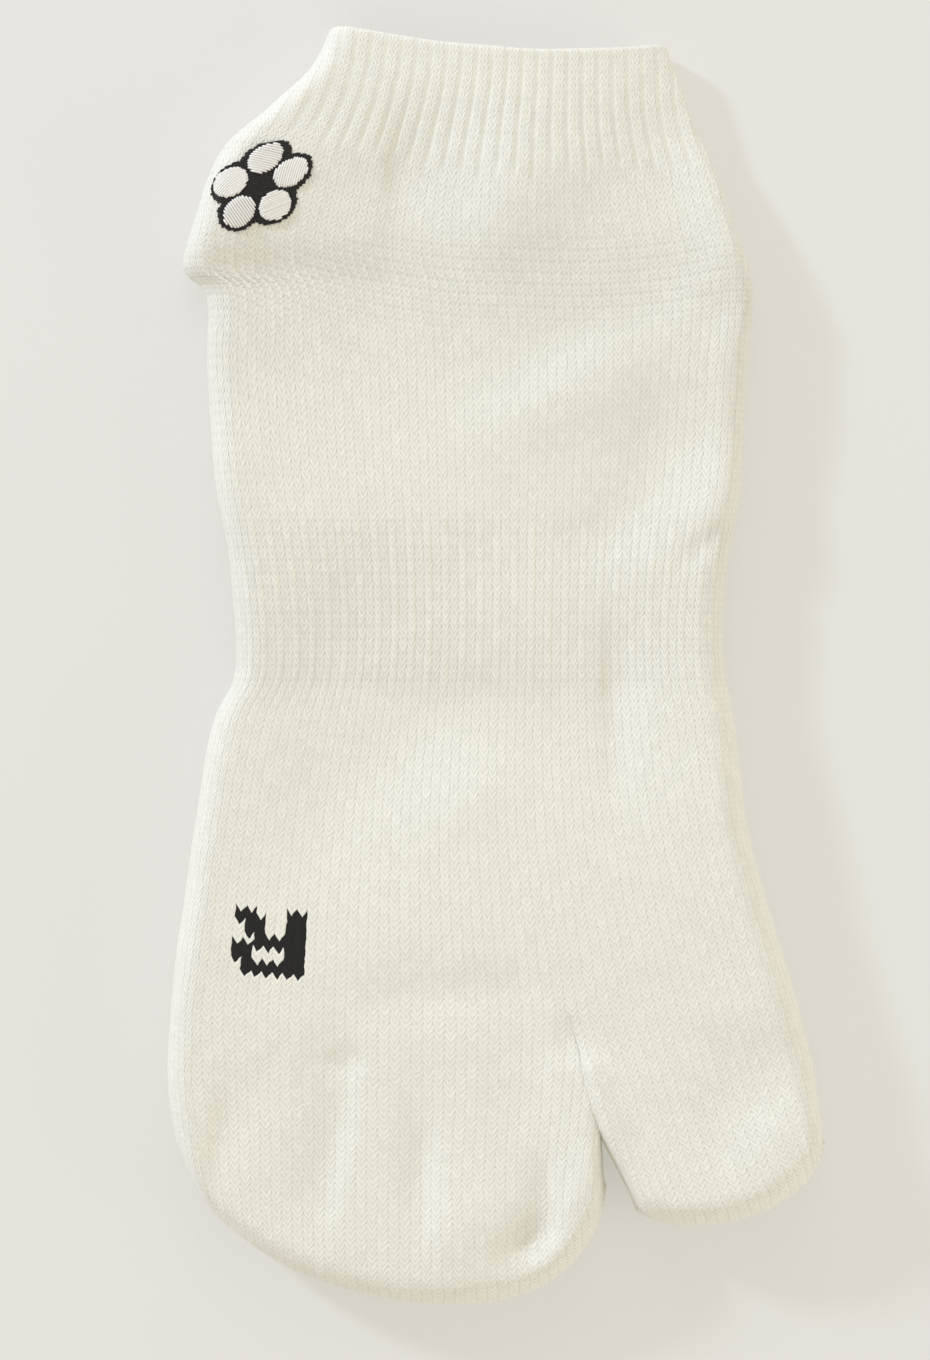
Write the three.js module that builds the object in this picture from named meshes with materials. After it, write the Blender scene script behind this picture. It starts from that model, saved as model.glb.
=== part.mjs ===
// Tabi ankle sock for the right foot, laid flat: sole down, instep up, cuff towards +Y and toes towards -Y.
// It is one knitted tube that parts into a four-toe pocket (-X side) and a big-toe pocket (+X side).
// A small plum blossom is embroidered on the outer ankle.
// Units are millimetres, +Z is up, and the origin is on the ground under the middle of the sock's box.

import * as THREE from 'three';

// ---------------------------------------------------------------- driving sizes

const wall = 1.8;            // thickness of the knitted cloth
const seamGap = 0.3;         // clear air between two pieces that touch
const foldLift = 0.46;       // height of the widest line of a section, as a share of its thickness
const shoulder = 6.5;        // how far in from the side the upper face reaches its full height
const underside = 3.6;       // how far in from the side the sole reaches the ground
const crown = 0.1;           // share of the height lost from the middle of a section to its sides
const toeRound = 9.0;        // length over which a toe pocket rounds down to its seam
const toeUnder = 4.5;        // length over which a toe pocket lifts off the ground to its seam
const seamLift = 4.2;        // height of the toe seams above the ground
const splitGap = 0.6;        // air between the two toe pockets where they lie side by side
const splitX = 12.1;         // where the split starts, across the sock
const crotch = 2.6;          // cloth left between the inner end of the foot and the start of the split
const splitRound = 2.6;      // how far in from the split a pocket's upper face is rounded where the split starts

const edgeSteps = 3;         // mesh steps round a side, up and down alike
const leftSteps = 14;        // mesh steps across, from the left side to the split line
const rightSteps = 9;        // mesh steps across, from the split line to the right side

const yarn = { ivory: 0xece7d8, black: 0x1a1816, white: 0xf4f2ee };

// One row for each section of the tube, from the cuff to the toe split.
// left and right are the [x, y] ends of the row seen from above, sag bows its middle towards the toes,
// thick is the height of the tube, hollow is the height of its inner ceiling, rows is mesh rows to the next.
const legSections = [
  { at: 'cuff rim', left: [-27.3, 106.3], right: [28.4, 103.6], sag: 2.4, thick: 10.0, hollow: 8.0, rows: 2 },
  { at: 'mid cuff', left: [-30.6, 99.6], right: [30.8, 96.6], sag: 2.2, thick: 10.5, hollow: 8.4, rows: 2 },
  { at: 'cuff end', left: [-37.6, 92.9], right: [33.4, 89.8], sag: 1.8, thick: 11.0, hollow: 8.6, rows: 2 },
  { at: 'ankle', left: [-45.6, 85.6], right: [36.6, 81.8], sag: 1.4, thick: 12.2, hollow: 8.8, rows: 3 },
  { at: 'heel cup', left: [-50.2, 73.4], right: [40.2, 72.0], sag: 1.0, thick: 13.0, hollow: 8.6, rows: 2 },
  { at: 'heel lip', left: [-51.9, 65.3], right: [42.5, 64.3], sag: 0.6, thick: 12.5, hollow: 8.0, rows: 1 },
  { at: 'foot top', left: [-48.5, 62.3], right: [42.8, 61.2], sag: 0.4, thick: 12.3, hollow: 8.0, rows: 3 },
  { at: 'instep', left: [-48.1, 49.0], right: [42.0, 49.0], sag: 0, thick: 11.6, hollow: 8.8, rows: 4 },
  { at: 'low instep', left: [-46.6, 31.0], right: [40.9, 31.0], sag: 0, thick: 11.0, hollow: 8.6, rows: 3 },
  { at: 'arch band', left: [-44.2, 16.0], right: [38.7, 16.0], sag: 0, thick: 10.4, hollow: 8.2, rows: 3 },
  { at: 'waist', left: [-43.1, 3.5], right: [37.9, 3.5], sag: 0, thick: 10.2, hollow: 8.1, rows: 1 },
  { at: 'band end', left: [-43.5, -2.6], right: [38.3, -2.6], sag: 0, thick: 10.4, hollow: 8.2, rows: 1 },
  { at: 'behind ball', left: [-46.5, -8.6], right: [39.4, -8.6], sag: 0, thick: 10.8, hollow: 8.6, rows: 3 },
  { at: 'ball', left: [-49.9, -26.5], right: [42.0, -26.5], sag: 0, thick: 11.8, hollow: 9.6, rows: 3 },
  { at: 'toe root', left: [-52.3, -44.2], right: [46.5, -44.2], sag: 0, thick: 12.4, hollow: 10.2, rows: 3 },
  { at: 'split', left: [-54.1, -57.5], right: [50.3, -57.5], sag: 0, thick: 12.6, hollow: 10.4, rows: 0 },
];

// The heel corner is folded over the foot on the left, so its lip overhangs a groove.  place is the groove's
// row between the heel lip and the top of the foot, back is how far the groove runs in under the lip,
// deep is how far it lies below the lip, and reach is the share of the width over which it fades out.
const heelTuck = { after: 'heel lip', place: 0.4, back: 1.6, deep: 3.0, reach: 0.34 };

// Outlines of the toe pockets seen from above, evenly stepped from the split to the ends of the seam.
const fourToeSides = [
  { at: 'split', left: [-54.1, -57.5], right: [12.1, -57.5] },
  { at: 'toe root', left: [-54.6, -68.5], right: [14.2, -67.0] },
  { at: 'toe middle', left: [-53.2, -78.0], right: [17.2, -78.0] },
  { at: 'seam end', left: [-49.0, -88.0], right: [18.1, -86.8] },
];
const bigToeSides = [
  { at: 'split', left: [12.1, -57.5], right: [50.3, -57.5] },
  { at: 'toe root', left: [14.2, -67.0], right: [52.8, -66.0] },
  { at: 'toe middle', left: [17.6, -78.0], right: [54.0, -73.0] },
  { at: 'seam end', left: [23.6, -90.4], right: [54.7, -79.6] },
];

// Toe seams seen from above, as the handles of one cubic curve from the left side to the right side.
const fourToeSeam = { leftHandle: [-36.0, -107.2], rightHandle: [15.0, -117.8] };
const bigToeSeam = { leftHandle: [31.0, -96.6], rightHandle: [53.0, -91.5] };

// Share of a pocket's length at each of its mesh rows; the last row is where it closes.
const outerPocketRows = [0.1, 0.24, 0.38, 0.52, 0.64, 0.75, 0.84, 0.91, 0.965, 1.0];
const innerPocketRows = [0.06, 0.28, 0.5, 0.68, 0.81, 0.9];

// The embroidered blossom.  girth is the way round the ankle from the left fold line to its middle.
const blossom = { girth: 12.4, y: 78.6, tilt: 12, petals: 5, lobeOut: 4.3, lobeRadius: 3.4, thick: 0.6 };
const petal = { out: 4.65, alongRadius: 2.45, acrossRadius: 2.3, thick: 0.5 };
const stitchLift = 0.45;     // height of the embroidery's back over the knit, clear of its flat faces

// Largest folds of the upper face: soft ridges (rise above 0) and hollows (rise below 0).
// turn is the direction of the fold's length, in degrees from +X towards +Y.
const folds = [
  { at: 'heel cup, left', x: -41.5, y: 75.5, length: 24, width: 18, turn: 65, rise: 1.3 },
  { at: 'behind the heel cup', x: -25.5, y: 71.5, length: 26, width: 13, turn: 66, rise: -1.0 },
  { at: 'dent under the cuff', x: -16.0, y: 81.0, length: 17, width: 5, turn: 84, rise: -1.2 },
  { at: 'heel cup, right', x: 35.5, y: 67.0, length: 20, width: 12, turn: 110, rise: 1.0 },
  { at: 'ankle dent', x: 22.0, y: 76.0, length: 18, width: 8, turn: -20, rise: -0.7 },
  { at: 'instep ridge', x: 16.5, y: 45.0, length: 38, width: 10, turn: 30, rise: 0.9 },
  { at: 'instep hollow', x: 20.5, y: 32.0, length: 34, width: 12, turn: 28, rise: -1.0 },
  { at: 'side pinch', x: 35.6, y: 20.6, length: 9, width: 4, turn: 40, rise: -1.2 },
  { at: 'arch trough', x: 19.6, y: -4.5, length: 19, width: 5, turn: 90, rise: -0.9 },
  { at: 'hollow behind the ball', x: -32.0, y: -17.0, length: 28, width: 15, turn: 80, rise: -0.9 },
  { at: 'toe crease, outer', x: -45.2, y: -69.5, length: 16, width: 5, turn: 80, rise: -0.9 },
  { at: 'toe crease, middle', x: -28.2, y: -77.0, length: 25, width: 5, turn: 76, rise: -1.3 },
  { at: 'toe crease, inner', x: -12.2, y: -82.0, length: 23, width: 5, turn: 83, rise: -1.3 },
  { at: 'toe pad', x: -2.5, y: -89.0, length: 16, width: 12, turn: 80, rise: 0.9 },
  { at: 'toe dimple', x: 4.5, y: -96.5, length: 15, width: 7, turn: 40, rise: -1.5 },
  { at: 'toe roll', x: 13.2, y: -91.0, length: 18, width: 6, turn: 65, rise: 0.9 },
  { at: 'big toe ridge', x: 43.4, y: -76.0, length: 19, width: 10, turn: 58, rise: 1.0 },
];

// ---------------------------------------------------------------- small helpers

const mix = (a, b, t) => a + (b - a) * t;
const clamp01 = (t) => Math.min(1, Math.max(0, t));
const smooth = (t) => clamp01(t) ** 2 * (3 - 2 * clamp01(t));
const roundOver = (distance, length) => Math.sqrt(1 - (1 - clamp01(distance / length)) ** 2);

// Smooth line through the left or right ends of a table's rows.
function sideLine(table, side) {
  const points = table.map((row) => new THREE.Vector3(...row[side], 0));
  return new THREE.CatmullRomCurve3(points, false, 'centripetal');
}

function foldHeight(x, y) {
  let height = 0;
  for (const fold of folds) {
    const turn = THREE.MathUtils.degToRad(fold.turn);
    const along = (x - fold.x) * Math.cos(turn) + (y - fold.y) * Math.sin(turn);
    const across = (y - fold.y) * Math.cos(turn) - (x - fold.x) * Math.sin(turn);
    const reach = (along / (fold.length / 2)) ** 2 + (across / (fold.width / 2)) ** 2;
    height += fold.rise * Math.exp(-reach);
  }
  return height;
}

// Stations across a section: how far each is from the left side, and how far the face has turned there,
// from 0 on the side's widest line to 1 where it lies flat.
function stations(steps, width, inset, leftRound, rightRound) {
  const list = [];
  const flatWidth = width - 2 * inset - leftRound - rightRound;
  for (let step = 0; step <= steps; step += 1) {
    const fromSide = Math.min(step, steps - step, edgeSteps) / edgeSteps;
    const rise = Math.sin((fromSide * Math.PI) / 2);
    const inward = 1 - Math.cos((fromSide * Math.PI) / 2);
    let distance = inset + leftRound + (flatWidth * (step - edgeSteps)) / (steps - 2 * edgeSteps);
    if (step < edgeSteps) {
      distance = inset + leftRound * inward;
    } else if (step > steps - edgeSteps) {
      distance = width - inset - rightRound * inward;
    }
    list.push({ distance, rise });
  }
  return list;
}

// ---------------------------------------------------------------- leg and foot

const legLeft = sideLine(legSections, 'left');
const legRight = sideLine(legSections, 'right');
const lastLeg = legSections.length - 1;

// Section at a place in the table: 2.5 is half way from the third row to the fourth.
function legSection(place) {
  const low = Math.min(Math.floor(place), lastLeg - 1);
  const [above, below] = [legSections[low], legSections[low + 1]];
  const column = (name) => mix(above[name], below[name], place - low);
  const left = legLeft.getPoint(place / lastLeg);
  const right = legRight.getPoint(place / lastLeg);
  return { left, right, sag: column('sag'), thick: column('thick'), hollow: column('hollow') };
}

function legPlan(section, share) {
  const point = new THREE.Vector3().lerpVectors(section.left, section.right, share);
  point.y -= section.sag * 4 * share * (1 - share);
  return point;
}

// Height of the upper face: full where it lies flat, down to the fold line where its side turns under.
function upperHeight(point, share, ceiling, lift, rise) {
  const full = ceiling * (1 - crown * (2 * share - 1) ** 2) + foldHeight(point.x, point.y);
  return lift + (full - lift) * rise;
}

// Moves the mesh steps across so that one of them always falls on the line that leads to the split.
function onSplitLine(list, width) {
  const [left, right] = [legLeft.getPoint(1), legRight.getPoint(1)];
  const splitAt = (width * (splitX - left.x)) / (right.x - left.x);
  const [first, last] = [edgeSteps, list.length - 1 - edgeSteps];
  for (let step = first + 1; step < last; step += 1) {
    const toSplit = step <= leftSteps;
    const from = toSplit ? list[first].distance : splitAt;
    const to = toSplit ? splitAt : list[last].distance;
    const share = toSplit ? (step - first) / (leftSteps - first) : (step - leftSteps) / (last - leftSteps);
    list[step].distance = mix(from, to, share);
  }
  return list;
}

// One section as two lines of points from left to right, over the top and under the sole.
function legRing(place, inset = 0, tuck = 0) {
  const section = legSection(place);
  const width = section.left.distanceTo(section.right);
  const lift = section.thick * foldLift;
  const ceiling = inset > 0 ? section.hollow : section.thick;
  const line = (round, height, tucked) => {
    const list = stations(leftSteps + rightSteps, width, inset, round, round);
    return onSplitLine(list, width).map(({ distance, rise }) => {
      const share = distance / width;
      const point = legPlan(section, share);
      const fade = tuck * smooth(1 - share / heelTuck.reach) * tucked(rise);
      point.z = height(point, share, rise) - fade * heelTuck.deep * rise;
      point.y += fade * heelTuck.back;
      return point;
    });
  };
  const upper = (point, share, rise) => upperHeight(point, share, ceiling, lift, rise);
  const lower = (point, share, rise) => lift - (lift - inset) * rise;
  const top = line(shoulder - inset, upper, () => 1);
  const sole = line(underside - inset / 2, lower, (rise) => 1 - rise);
  return { top, sole };
}

const loop = ({ top, sole }) => [...top, ...sole.slice(1, -1).reverse()];

// ---------------------------------------------------------------- toe pockets

function pocket(sides, seam, steps, splitSide) {
  const leftLine = sideLine(sides, 'left');
  const rightLine = sideLine(sides, 'right');
  const seamLine = new THREE.CubicBezierCurve3(
    leftLine.getPoint(1),
    new THREE.Vector3(...seam.leftHandle, 0),
    new THREE.Vector3(...seam.rightHandle, 0),
    rightLine.getPoint(1),
  );
  return { leftLine, rightLine, seamLine, steps, splitSide };
}

// Rows of a pocket start straight, at the split, and bow out more and more to end on the seam.
function pocketPlan(shape, down, share) {
  const [left, right] = [shape.leftLine.getPoint(down), shape.rightLine.getPoint(down)];
  const gap = (splitGap / 2) * smooth(down * 10);
  left.x += shape.splitSide === 'left' ? gap : 0;
  right.x -= shape.splitSide === 'right' ? gap : 0;
  const straight = new THREE.Vector3().lerpVectors(left, right, share);
  const chord = new THREE.Vector3().lerpVectors(shape.seamLine.v0, shape.seamLine.v3, share);
  const bow = shape.seamLine.getPoint(share).sub(chord).multiplyScalar(down ** 1.6);
  return straight.add(bow);
}

function pocketRing(shape, down, closeAt, inset = 0) {
  const atSplit = legSections[lastLeg];
  const width = pocketPlan(shape, down, 0).distanceTo(pocketPlan(shape, down, 1));
  const lift = mix(atSplit.thick * foldLift, seamLift, smooth(down));
  const ceiling = inset > 0 ? atSplit.hollow : atSplit.thick;
  const closing = smooth((down / closeAt - 0.8) * 5);
  const line = (round, endRound, height) => {
    const innerRound = mix(Math.min(splitRound, round), round, smooth(down * 3));
    const leftRound = shape.splitSide === 'left' ? innerRound : round;
    const rightRound = shape.splitSide === 'right' ? innerRound : round;
    return stations(shape.steps, width, inset, leftRound, rightRound).map(({ distance, rise }) => {
      const share = distance / width;
      const point = pocketPlan(shape, down, share);
      const toSeam = pocketPlan(shape, closeAt, share).distanceTo(point);
      point.z = height(point, share, rise * roundOver(toSeam, endRound));
      return point;
    });
  };
  const soleRound = mix(underside - inset / 2, shoulder - inset, closing);
  const upper = (point, share, rise) => upperHeight(point, share, ceiling, lift, rise);
  const lower = (point, share, rise) => lift - (lift - inset) * rise;
  return { top: line(shoulder - inset, toeRound, upper), sole: line(soleRound, toeUnder, lower) };
}

const fourToePocket = pocket(fourToeSides, fourToeSeam, leftSteps + 1, 'right');
const bigToePocket = pocket(bigToeSides, bigToeSeam, rightSteps + 1, 'left');

// ---------------------------------------------------------------- the knitted tube

// Joins two loops of the same length with triangles, cutting each four-sided cell on its shorter diagonal.
function bridge(triangles, loopA, loopB) {
  loopA.forEach((a, index) => {
    const next = (index + 1) % loopA.length;
    const [b, c, d] = [loopB[index], loopB[next], loopA[next]];
    if (a.distanceTo(c) < b.distanceTo(d)) {
      triangles.push([a, b, c], [a, c, d]);
    } else {
      triangles.push([a, b, d], [b, c, d]);
    }
  });
}

// One face of the tube, inner or outer: its loops down the leg, and then down each of the two pockets.
function tubeFace(legRings, pocketRows, inset) {
  const last = legRings.at(-1);
  const lastTop = last.top[leftSteps];
  const lastSole = last.sole[leftSteps];
  const fork = new THREE.Vector3(lastTop.x, lastTop.y, mix(lastSole.z, lastTop.z, 0.45));
  const leftTop = last.top.slice(0, leftSteps + 1);
  const forkLeft = [...leftTop, fork, ...last.sole.slice(1, leftSteps + 1).reverse()];
  const forkRight = [fork, ...last.top.slice(leftSteps), ...last.sole.slice(leftSteps, -1).reverse()];
  const closeAt = pocketRows.at(-1);
  const pocketLoops = (shape, first) => [first, ...pocketRows.map((down) => (
    loop(pocketRing(shape, down, closeAt, inset))))];
  return {
    leg: legRings.map(loop),
    fourToe: pocketLoops(fourToePocket, forkLeft),
    bigToe: pocketLoops(bigToePocket, forkRight),
  };
}

function toGeometry(triangles) {
  const solid = triangles.filter(([a, b, c]) => (
    a.distanceTo(b) > 1e-3 && b.distanceTo(c) > 1e-3 && c.distanceTo(a) > 1e-3));
  return new THREE.BufferGeometry().setFromPoints(solid.flat());
}

function sockGeometry() {
  const outerRings = [];
  const innerRings = [];
  legSections.forEach((section, index) => {
    for (let row = 0; row < section.rows; row += 1) {
      outerRings.push(legRing(index + row / section.rows));
    }
    if (section.at === heelTuck.after) {
      outerRings.push(legRing(index + heelTuck.place, 0, 1));
    }
    if (index < lastLeg) {
      innerRings.push(legRing(index, wall));
    }
  });
  outerRings.push(legRing(lastLeg));
  const rootLength = legSections[lastLeg - 1].left[1] - legSections[lastLeg].left[1];
  innerRings.push(legRing(lastLeg - crotch / rootLength, wall));

  const outer = tubeFace(outerRings, outerPocketRows, 0);
  const inner = tubeFace(innerRings, innerPocketRows, wall);
  const triangles = [];
  bridge(triangles, inner.leg[0], outer.leg[0]);
  for (const part of ['leg', 'fourToe', 'bigToe']) {
    for (let row = 1; row < outer[part].length; row += 1) {
      bridge(triangles, outer[part][row - 1], outer[part][row]);
    }
    for (let row = 1; row < inner[part].length; row += 1) {
      bridge(triangles, inner[part][row], inner[part][row - 1]);
    }
  }
  return toGeometry(triangles);
}

// ---------------------------------------------------------------- embroidery on the outer ankle

// Point on the leg at a place in the table and a way round from the left fold line, over the top.
function legPoint(place, girth) {
  const section = legSection(place);
  const turn = Math.min(girth / shoulder, Math.PI / 2);
  const flat = Math.max(0, girth - (shoulder * Math.PI) / 2);
  const share = (shoulder * (1 - Math.cos(turn)) + flat) / section.left.distanceTo(section.right);
  const point = legPlan(section, share);
  point.z = upperHeight(point, share, section.thick, section.thick * foldLift, Math.sin(turn));
  return point;
}

// Point of the embroidery, from its own across and along, moved out from the knit.
function stitchPoint(across, along, out) {
  const girth = blossom.girth + across;
  let [above, below] = [2, 5];
  for (let turn = 0; turn < 24; turn += 1) {
    const middle = (above + below) / 2;
    if (legPoint(middle, girth).y > blossom.y + along) {
      above = middle;
    } else {
      below = middle;
    }
  }
  const point = legPoint(above, girth);
  const step = 0.05;
  const acrossStep = legPoint(above, girth + step).sub(point);
  const alongStep = legPoint(above - step, girth).sub(point);
  return point.add(acrossStep.cross(alongStep).normalize().multiplyScalar(out));
}

// Flat plate of stitches round its own centre: radius gives its outline for each direction.
function stitchPlate(centre, radius, segments, lowOut, highOut) {
  const rings = [0.5, 1];
  const ringAt = (share, out) => Array.from({ length: segments }, (_, index) => {
    const angle = (index / segments) * 2 * Math.PI;
    const reach = radius(angle) * share;
    return stitchPoint(centre.x + reach * Math.cos(angle), centre.y + reach * Math.sin(angle), out);
  });
  const triangles = [];
  const highRings = rings.map((share) => ringAt(share, highOut));
  const lowRings = rings.map((share) => ringAt(share, lowOut));
  const [highMiddle, lowMiddle] = [highOut, lowOut].map((out) => stitchPoint(centre.x, centre.y, out));
  for (let index = 0; index < segments; index += 1) {
    const next = (index + 1) % segments;
    triangles.push([highMiddle, highRings[0][index], highRings[0][next]]);
    triangles.push([lowMiddle, lowRings[0][next], lowRings[0][index]]);
  }
  bridge(triangles, highRings[0], highRings[1]);
  bridge(triangles, highRings[1], lowRings[1]);
  bridge(triangles, lowRings[1], lowRings[0]);
  return toGeometry(triangles);
}

const lobeTurn = 360 / blossom.petals;
const petalDirection = (index) => THREE.MathUtils.degToRad(90 + blossom.tilt + index * lobeTurn);

// Outline of five round lobes, as a distance from the blossom's middle.
function lobedRadius(angle) {
  const between = THREE.MathUtils.degToRad(lobeTurn);
  const offLobe = (((angle - petalDirection(0)) % between) + 1.5 * between) % between - between / 2;
  const side = blossom.lobeOut * Math.sin(offLobe);
  return blossom.lobeOut * Math.cos(offLobe) + Math.sqrt(blossom.lobeRadius ** 2 - side ** 2);
}

function petalRadius(direction) {
  return (angle) => {
    const along = Math.cos(angle - direction) / petal.alongRadius;
    const across = Math.sin(angle - direction) / petal.acrossRadius;
    return 1 / Math.hypot(along, across);
  };
}

// ---------------------------------------------------------------- the part

function piece(name, geometry, colour) {
  geometry.computeVertexNormals();
  const material = new THREE.MeshStandardMaterial({ color: colour, roughness: 0.95, metalness: 0 });
  const mesh = new THREE.Mesh(geometry, material);
  mesh.name = name;
  return mesh;
}

const sock = new THREE.Group();
sock.add(piece('sock', sockGeometry(), yarn.ivory));

const groundTop = stitchLift + blossom.thick;
const ground = stitchPlate({ x: 0, y: 0 }, lobedRadius, 40, stitchLift, groundTop);
sock.add(piece('blossom_ground', ground, yarn.black));

for (let index = 0; index < blossom.petals; index += 1) {
  const direction = petalDirection(index);
  const centre = { x: petal.out * Math.cos(direction), y: petal.out * Math.sin(direction) };
  const petalBack = groundTop + seamGap;
  const plate = stitchPlate(centre, petalRadius(direction), 16, petalBack, petalBack + petal.thick);
  sock.add(piece(`blossom_petal_${index + 1}`, plate, yarn.white));
}

// Sets the origin on the ground under the middle of the box.
const box = new THREE.Box3().setFromObject(sock.children[0]);
const middle = box.getCenter(new THREE.Vector3());
sock.position.set(-middle.x, -middle.y, -box.min.z);

export default sock;
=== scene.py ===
# %% [markdown]
# # A tabi ankle sock, laid flat
# The real thing is one knitted tube of ivory cotton for the right foot. It has a ribbed cuff, an elastic
# band round the arch, and a toe that parts into two pockets: one for the big toe and one for the other
# four. It lies sole down, as a sock does on a table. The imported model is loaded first, because it fixes
# where everything is: this script only gives that model its finished surfaces.

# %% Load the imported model
import math

import bpy
import numpy as np
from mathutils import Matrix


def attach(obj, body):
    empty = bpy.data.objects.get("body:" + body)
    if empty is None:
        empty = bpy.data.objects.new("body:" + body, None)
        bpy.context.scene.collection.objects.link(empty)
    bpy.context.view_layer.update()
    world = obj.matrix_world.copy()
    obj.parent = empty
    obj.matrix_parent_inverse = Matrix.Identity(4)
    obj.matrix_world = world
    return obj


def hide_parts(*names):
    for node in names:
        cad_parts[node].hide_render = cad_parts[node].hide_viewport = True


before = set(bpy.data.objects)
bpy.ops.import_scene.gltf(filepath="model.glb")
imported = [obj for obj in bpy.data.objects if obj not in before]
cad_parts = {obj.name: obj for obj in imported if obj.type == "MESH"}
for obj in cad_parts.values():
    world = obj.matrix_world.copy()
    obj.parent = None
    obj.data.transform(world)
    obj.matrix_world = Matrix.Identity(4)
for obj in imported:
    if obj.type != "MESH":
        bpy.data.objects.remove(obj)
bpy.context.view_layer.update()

# %% [markdown]
# ## Small sums
# Sizes below are in millimetres, as a knitter would measure them, and become metres only when a mesh is
# made. A handful of short functions do all the rounding and blending: a step with soft ends, a
# quarter-ellipse shoulder, and a smooth line through a few points. The line passes through its points with
# a bend that suits their spacing, so a table of a dozen rows is enough for a soft outline.

# %% Helpers for curves
MM = 0.001


def smooth(t):
    t = np.clip(t, 0, 1)
    return t * t * (3 - 2 * t)


def mix(a, b, t):
    return a + (b - a) * t


def round_over(distance, length):
    return np.sqrt(1 - (1 - np.clip(distance / length, 0, 1)) ** 2)


def line_through(points, place, spacing="root"):
    """Points of a smooth line at each place: 2.5 is half way from the third point to the fourth."""
    points = np.asarray(points, float).reshape(len(points), -1)
    padded = np.vstack([2 * points[0] - points[1], points, 2 * points[-1] - points[-2]])
    low = np.clip(np.floor(place).astype(int), 0, len(points) - 2)
    t = (place - low)[..., None]
    a, b, c, d = (padded[low + step] for step in range(4))
    gaps = []
    for near, far in ((a, b), (b, c), (c, d)):
        length = np.linalg.norm(far - near, axis=-1, keepdims=True)
        gaps.append(np.sqrt(length) if spacing == "root" else np.ones_like(length))
    first, middle, last = gaps
    leave = ((b - a) / first - (c - a) / (first + middle) + (c - b) / middle) * middle
    arrive = ((c - b) / middle - (d - b) / (middle + last) + (d - c) / last) * middle
    return b + t * (leave + t * (3 * (c - b) - 2 * leave - arrive + t * (2 * (b - c) + leave + arrive)))


def even(values, place):
    """One column of a table, read smoothly at each place."""
    return line_through(values, place, spacing="even")[..., 0]


# %% [markdown]
# ## The knitter's table
# A sock is a tube, so its shape is a row of sections: each one says where its left and right folds lie, how
# far its middle sags towards the toes, and how thick the flattened tube is. The last three columns are
# about the knit itself: how wide a wale (a column of stitches) is in the leg, how tall a course (a row of
# stitches) is, and how far the courses bow. One table for the leg and foot and two short ones for the toe
# pockets replace hundreds of hand-placed points.

# %% Sections of the leg and foot
WALL = 1.8            # thickness of the knitted cloth
FOLD_LIFT = 0.46      # height of a section's widest line, as a share of its thickness
SHOULDER = 5.0        # how far in from the side the upper face reaches its full height
UNDERSIDE = 5.0       # how far in from the side the sole reaches the ground
SIDE_ROLL = 0.03      # share of the height that the rolled sides stand above a section's own thickness
MIDDLE_SAG = 0.13     # share of the height that the middle lies below them
SPLIT_X = 12.1        # where the split between the toes starts

SECTION_COLUMNS = "left x,left y,right x,right y,sag,thick,hollow,wale,course,bow".split(",")
SECTIONS = {
    "cuff rim": (-27.3, 106.3, 28.4, 103.6, 2.4, 10.0, 8.0, 1.25, 1.15, 0.0),
    "mid cuff": (-30.6, 99.6, 30.8, 96.6, 2.2, 10.5, 8.4, 1.28, 1.15, 0.0),
    "cuff end": (-37.6, 92.9, 33.4, 89.8, 1.8, 11.0, 8.6, 1.36, 1.20, 0.0),
    "ankle": (-45.6, 85.6, 36.6, 81.8, 1.4, 12.2, 8.8, 1.50, 1.20, 0.0),
    "heel cup": (-50.2, 73.4, 40.2, 72.0, 1.0, 13.0, 8.6, 1.60, 1.05, 0.0),
    "heel lip": (-51.9, 65.3, 42.5, 64.3, 0.6, 12.5, 8.0, 1.65, 0.95, 0.0),
    "foot top": (-48.5, 62.3, 42.8, 61.2, 0.4, 12.3, 8.0, 1.65, 0.95, 0.0),
    "instep": (-48.1, 49.0, 42.0, 49.0, 0.0, 11.6, 8.8, 1.65, 1.04, 0.0),
    "low instep": (-46.6, 31.0, 40.9, 31.0, 0.0, 11.0, 8.6, 1.65, 1.06, 0.0),
    "arch band": (-44.2, 16.0, 38.7, 16.0, 0.0, 10.4, 8.2, 1.65, 1.09, 0.0),
    "waist": (-43.1, 3.5, 37.9, 3.5, 0.0, 10.2, 8.1, 1.65, 1.09, 0.0),
    "band end": (-43.5, -2.6, 38.3, -2.6, 0.0, 10.4, 8.2, 1.65, 1.08, 0.3),
    "behind ball": (-46.5, -8.6, 39.4, -8.6, 0.0, 10.8, 8.6, 1.65, 1.06, 1.0),
    "ball": (-49.9, -26.5, 42.0, -26.5, 0.0, 11.8, 9.6, 1.65, 1.06, 2.5),
    "toe root": (-52.3, -44.2, 46.5, -44.2, 0.0, 12.4, 10.2, 1.65, 1.05, 3.5),
    "split": (-54.1, -57.5, 50.3, -57.5, 0.0, 12.6, 10.4, 1.65, 1.05, 3.5),
}
SECTION_NAMES = list(SECTIONS)
section_table = np.array(list(SECTIONS.values()))
column_of = {name: section_table[:, index] for index, name in enumerate(SECTION_COLUMNS)}
LAST = len(SECTIONS) - 1
print("sections of the leg and foot:", len(SECTIONS))

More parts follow.
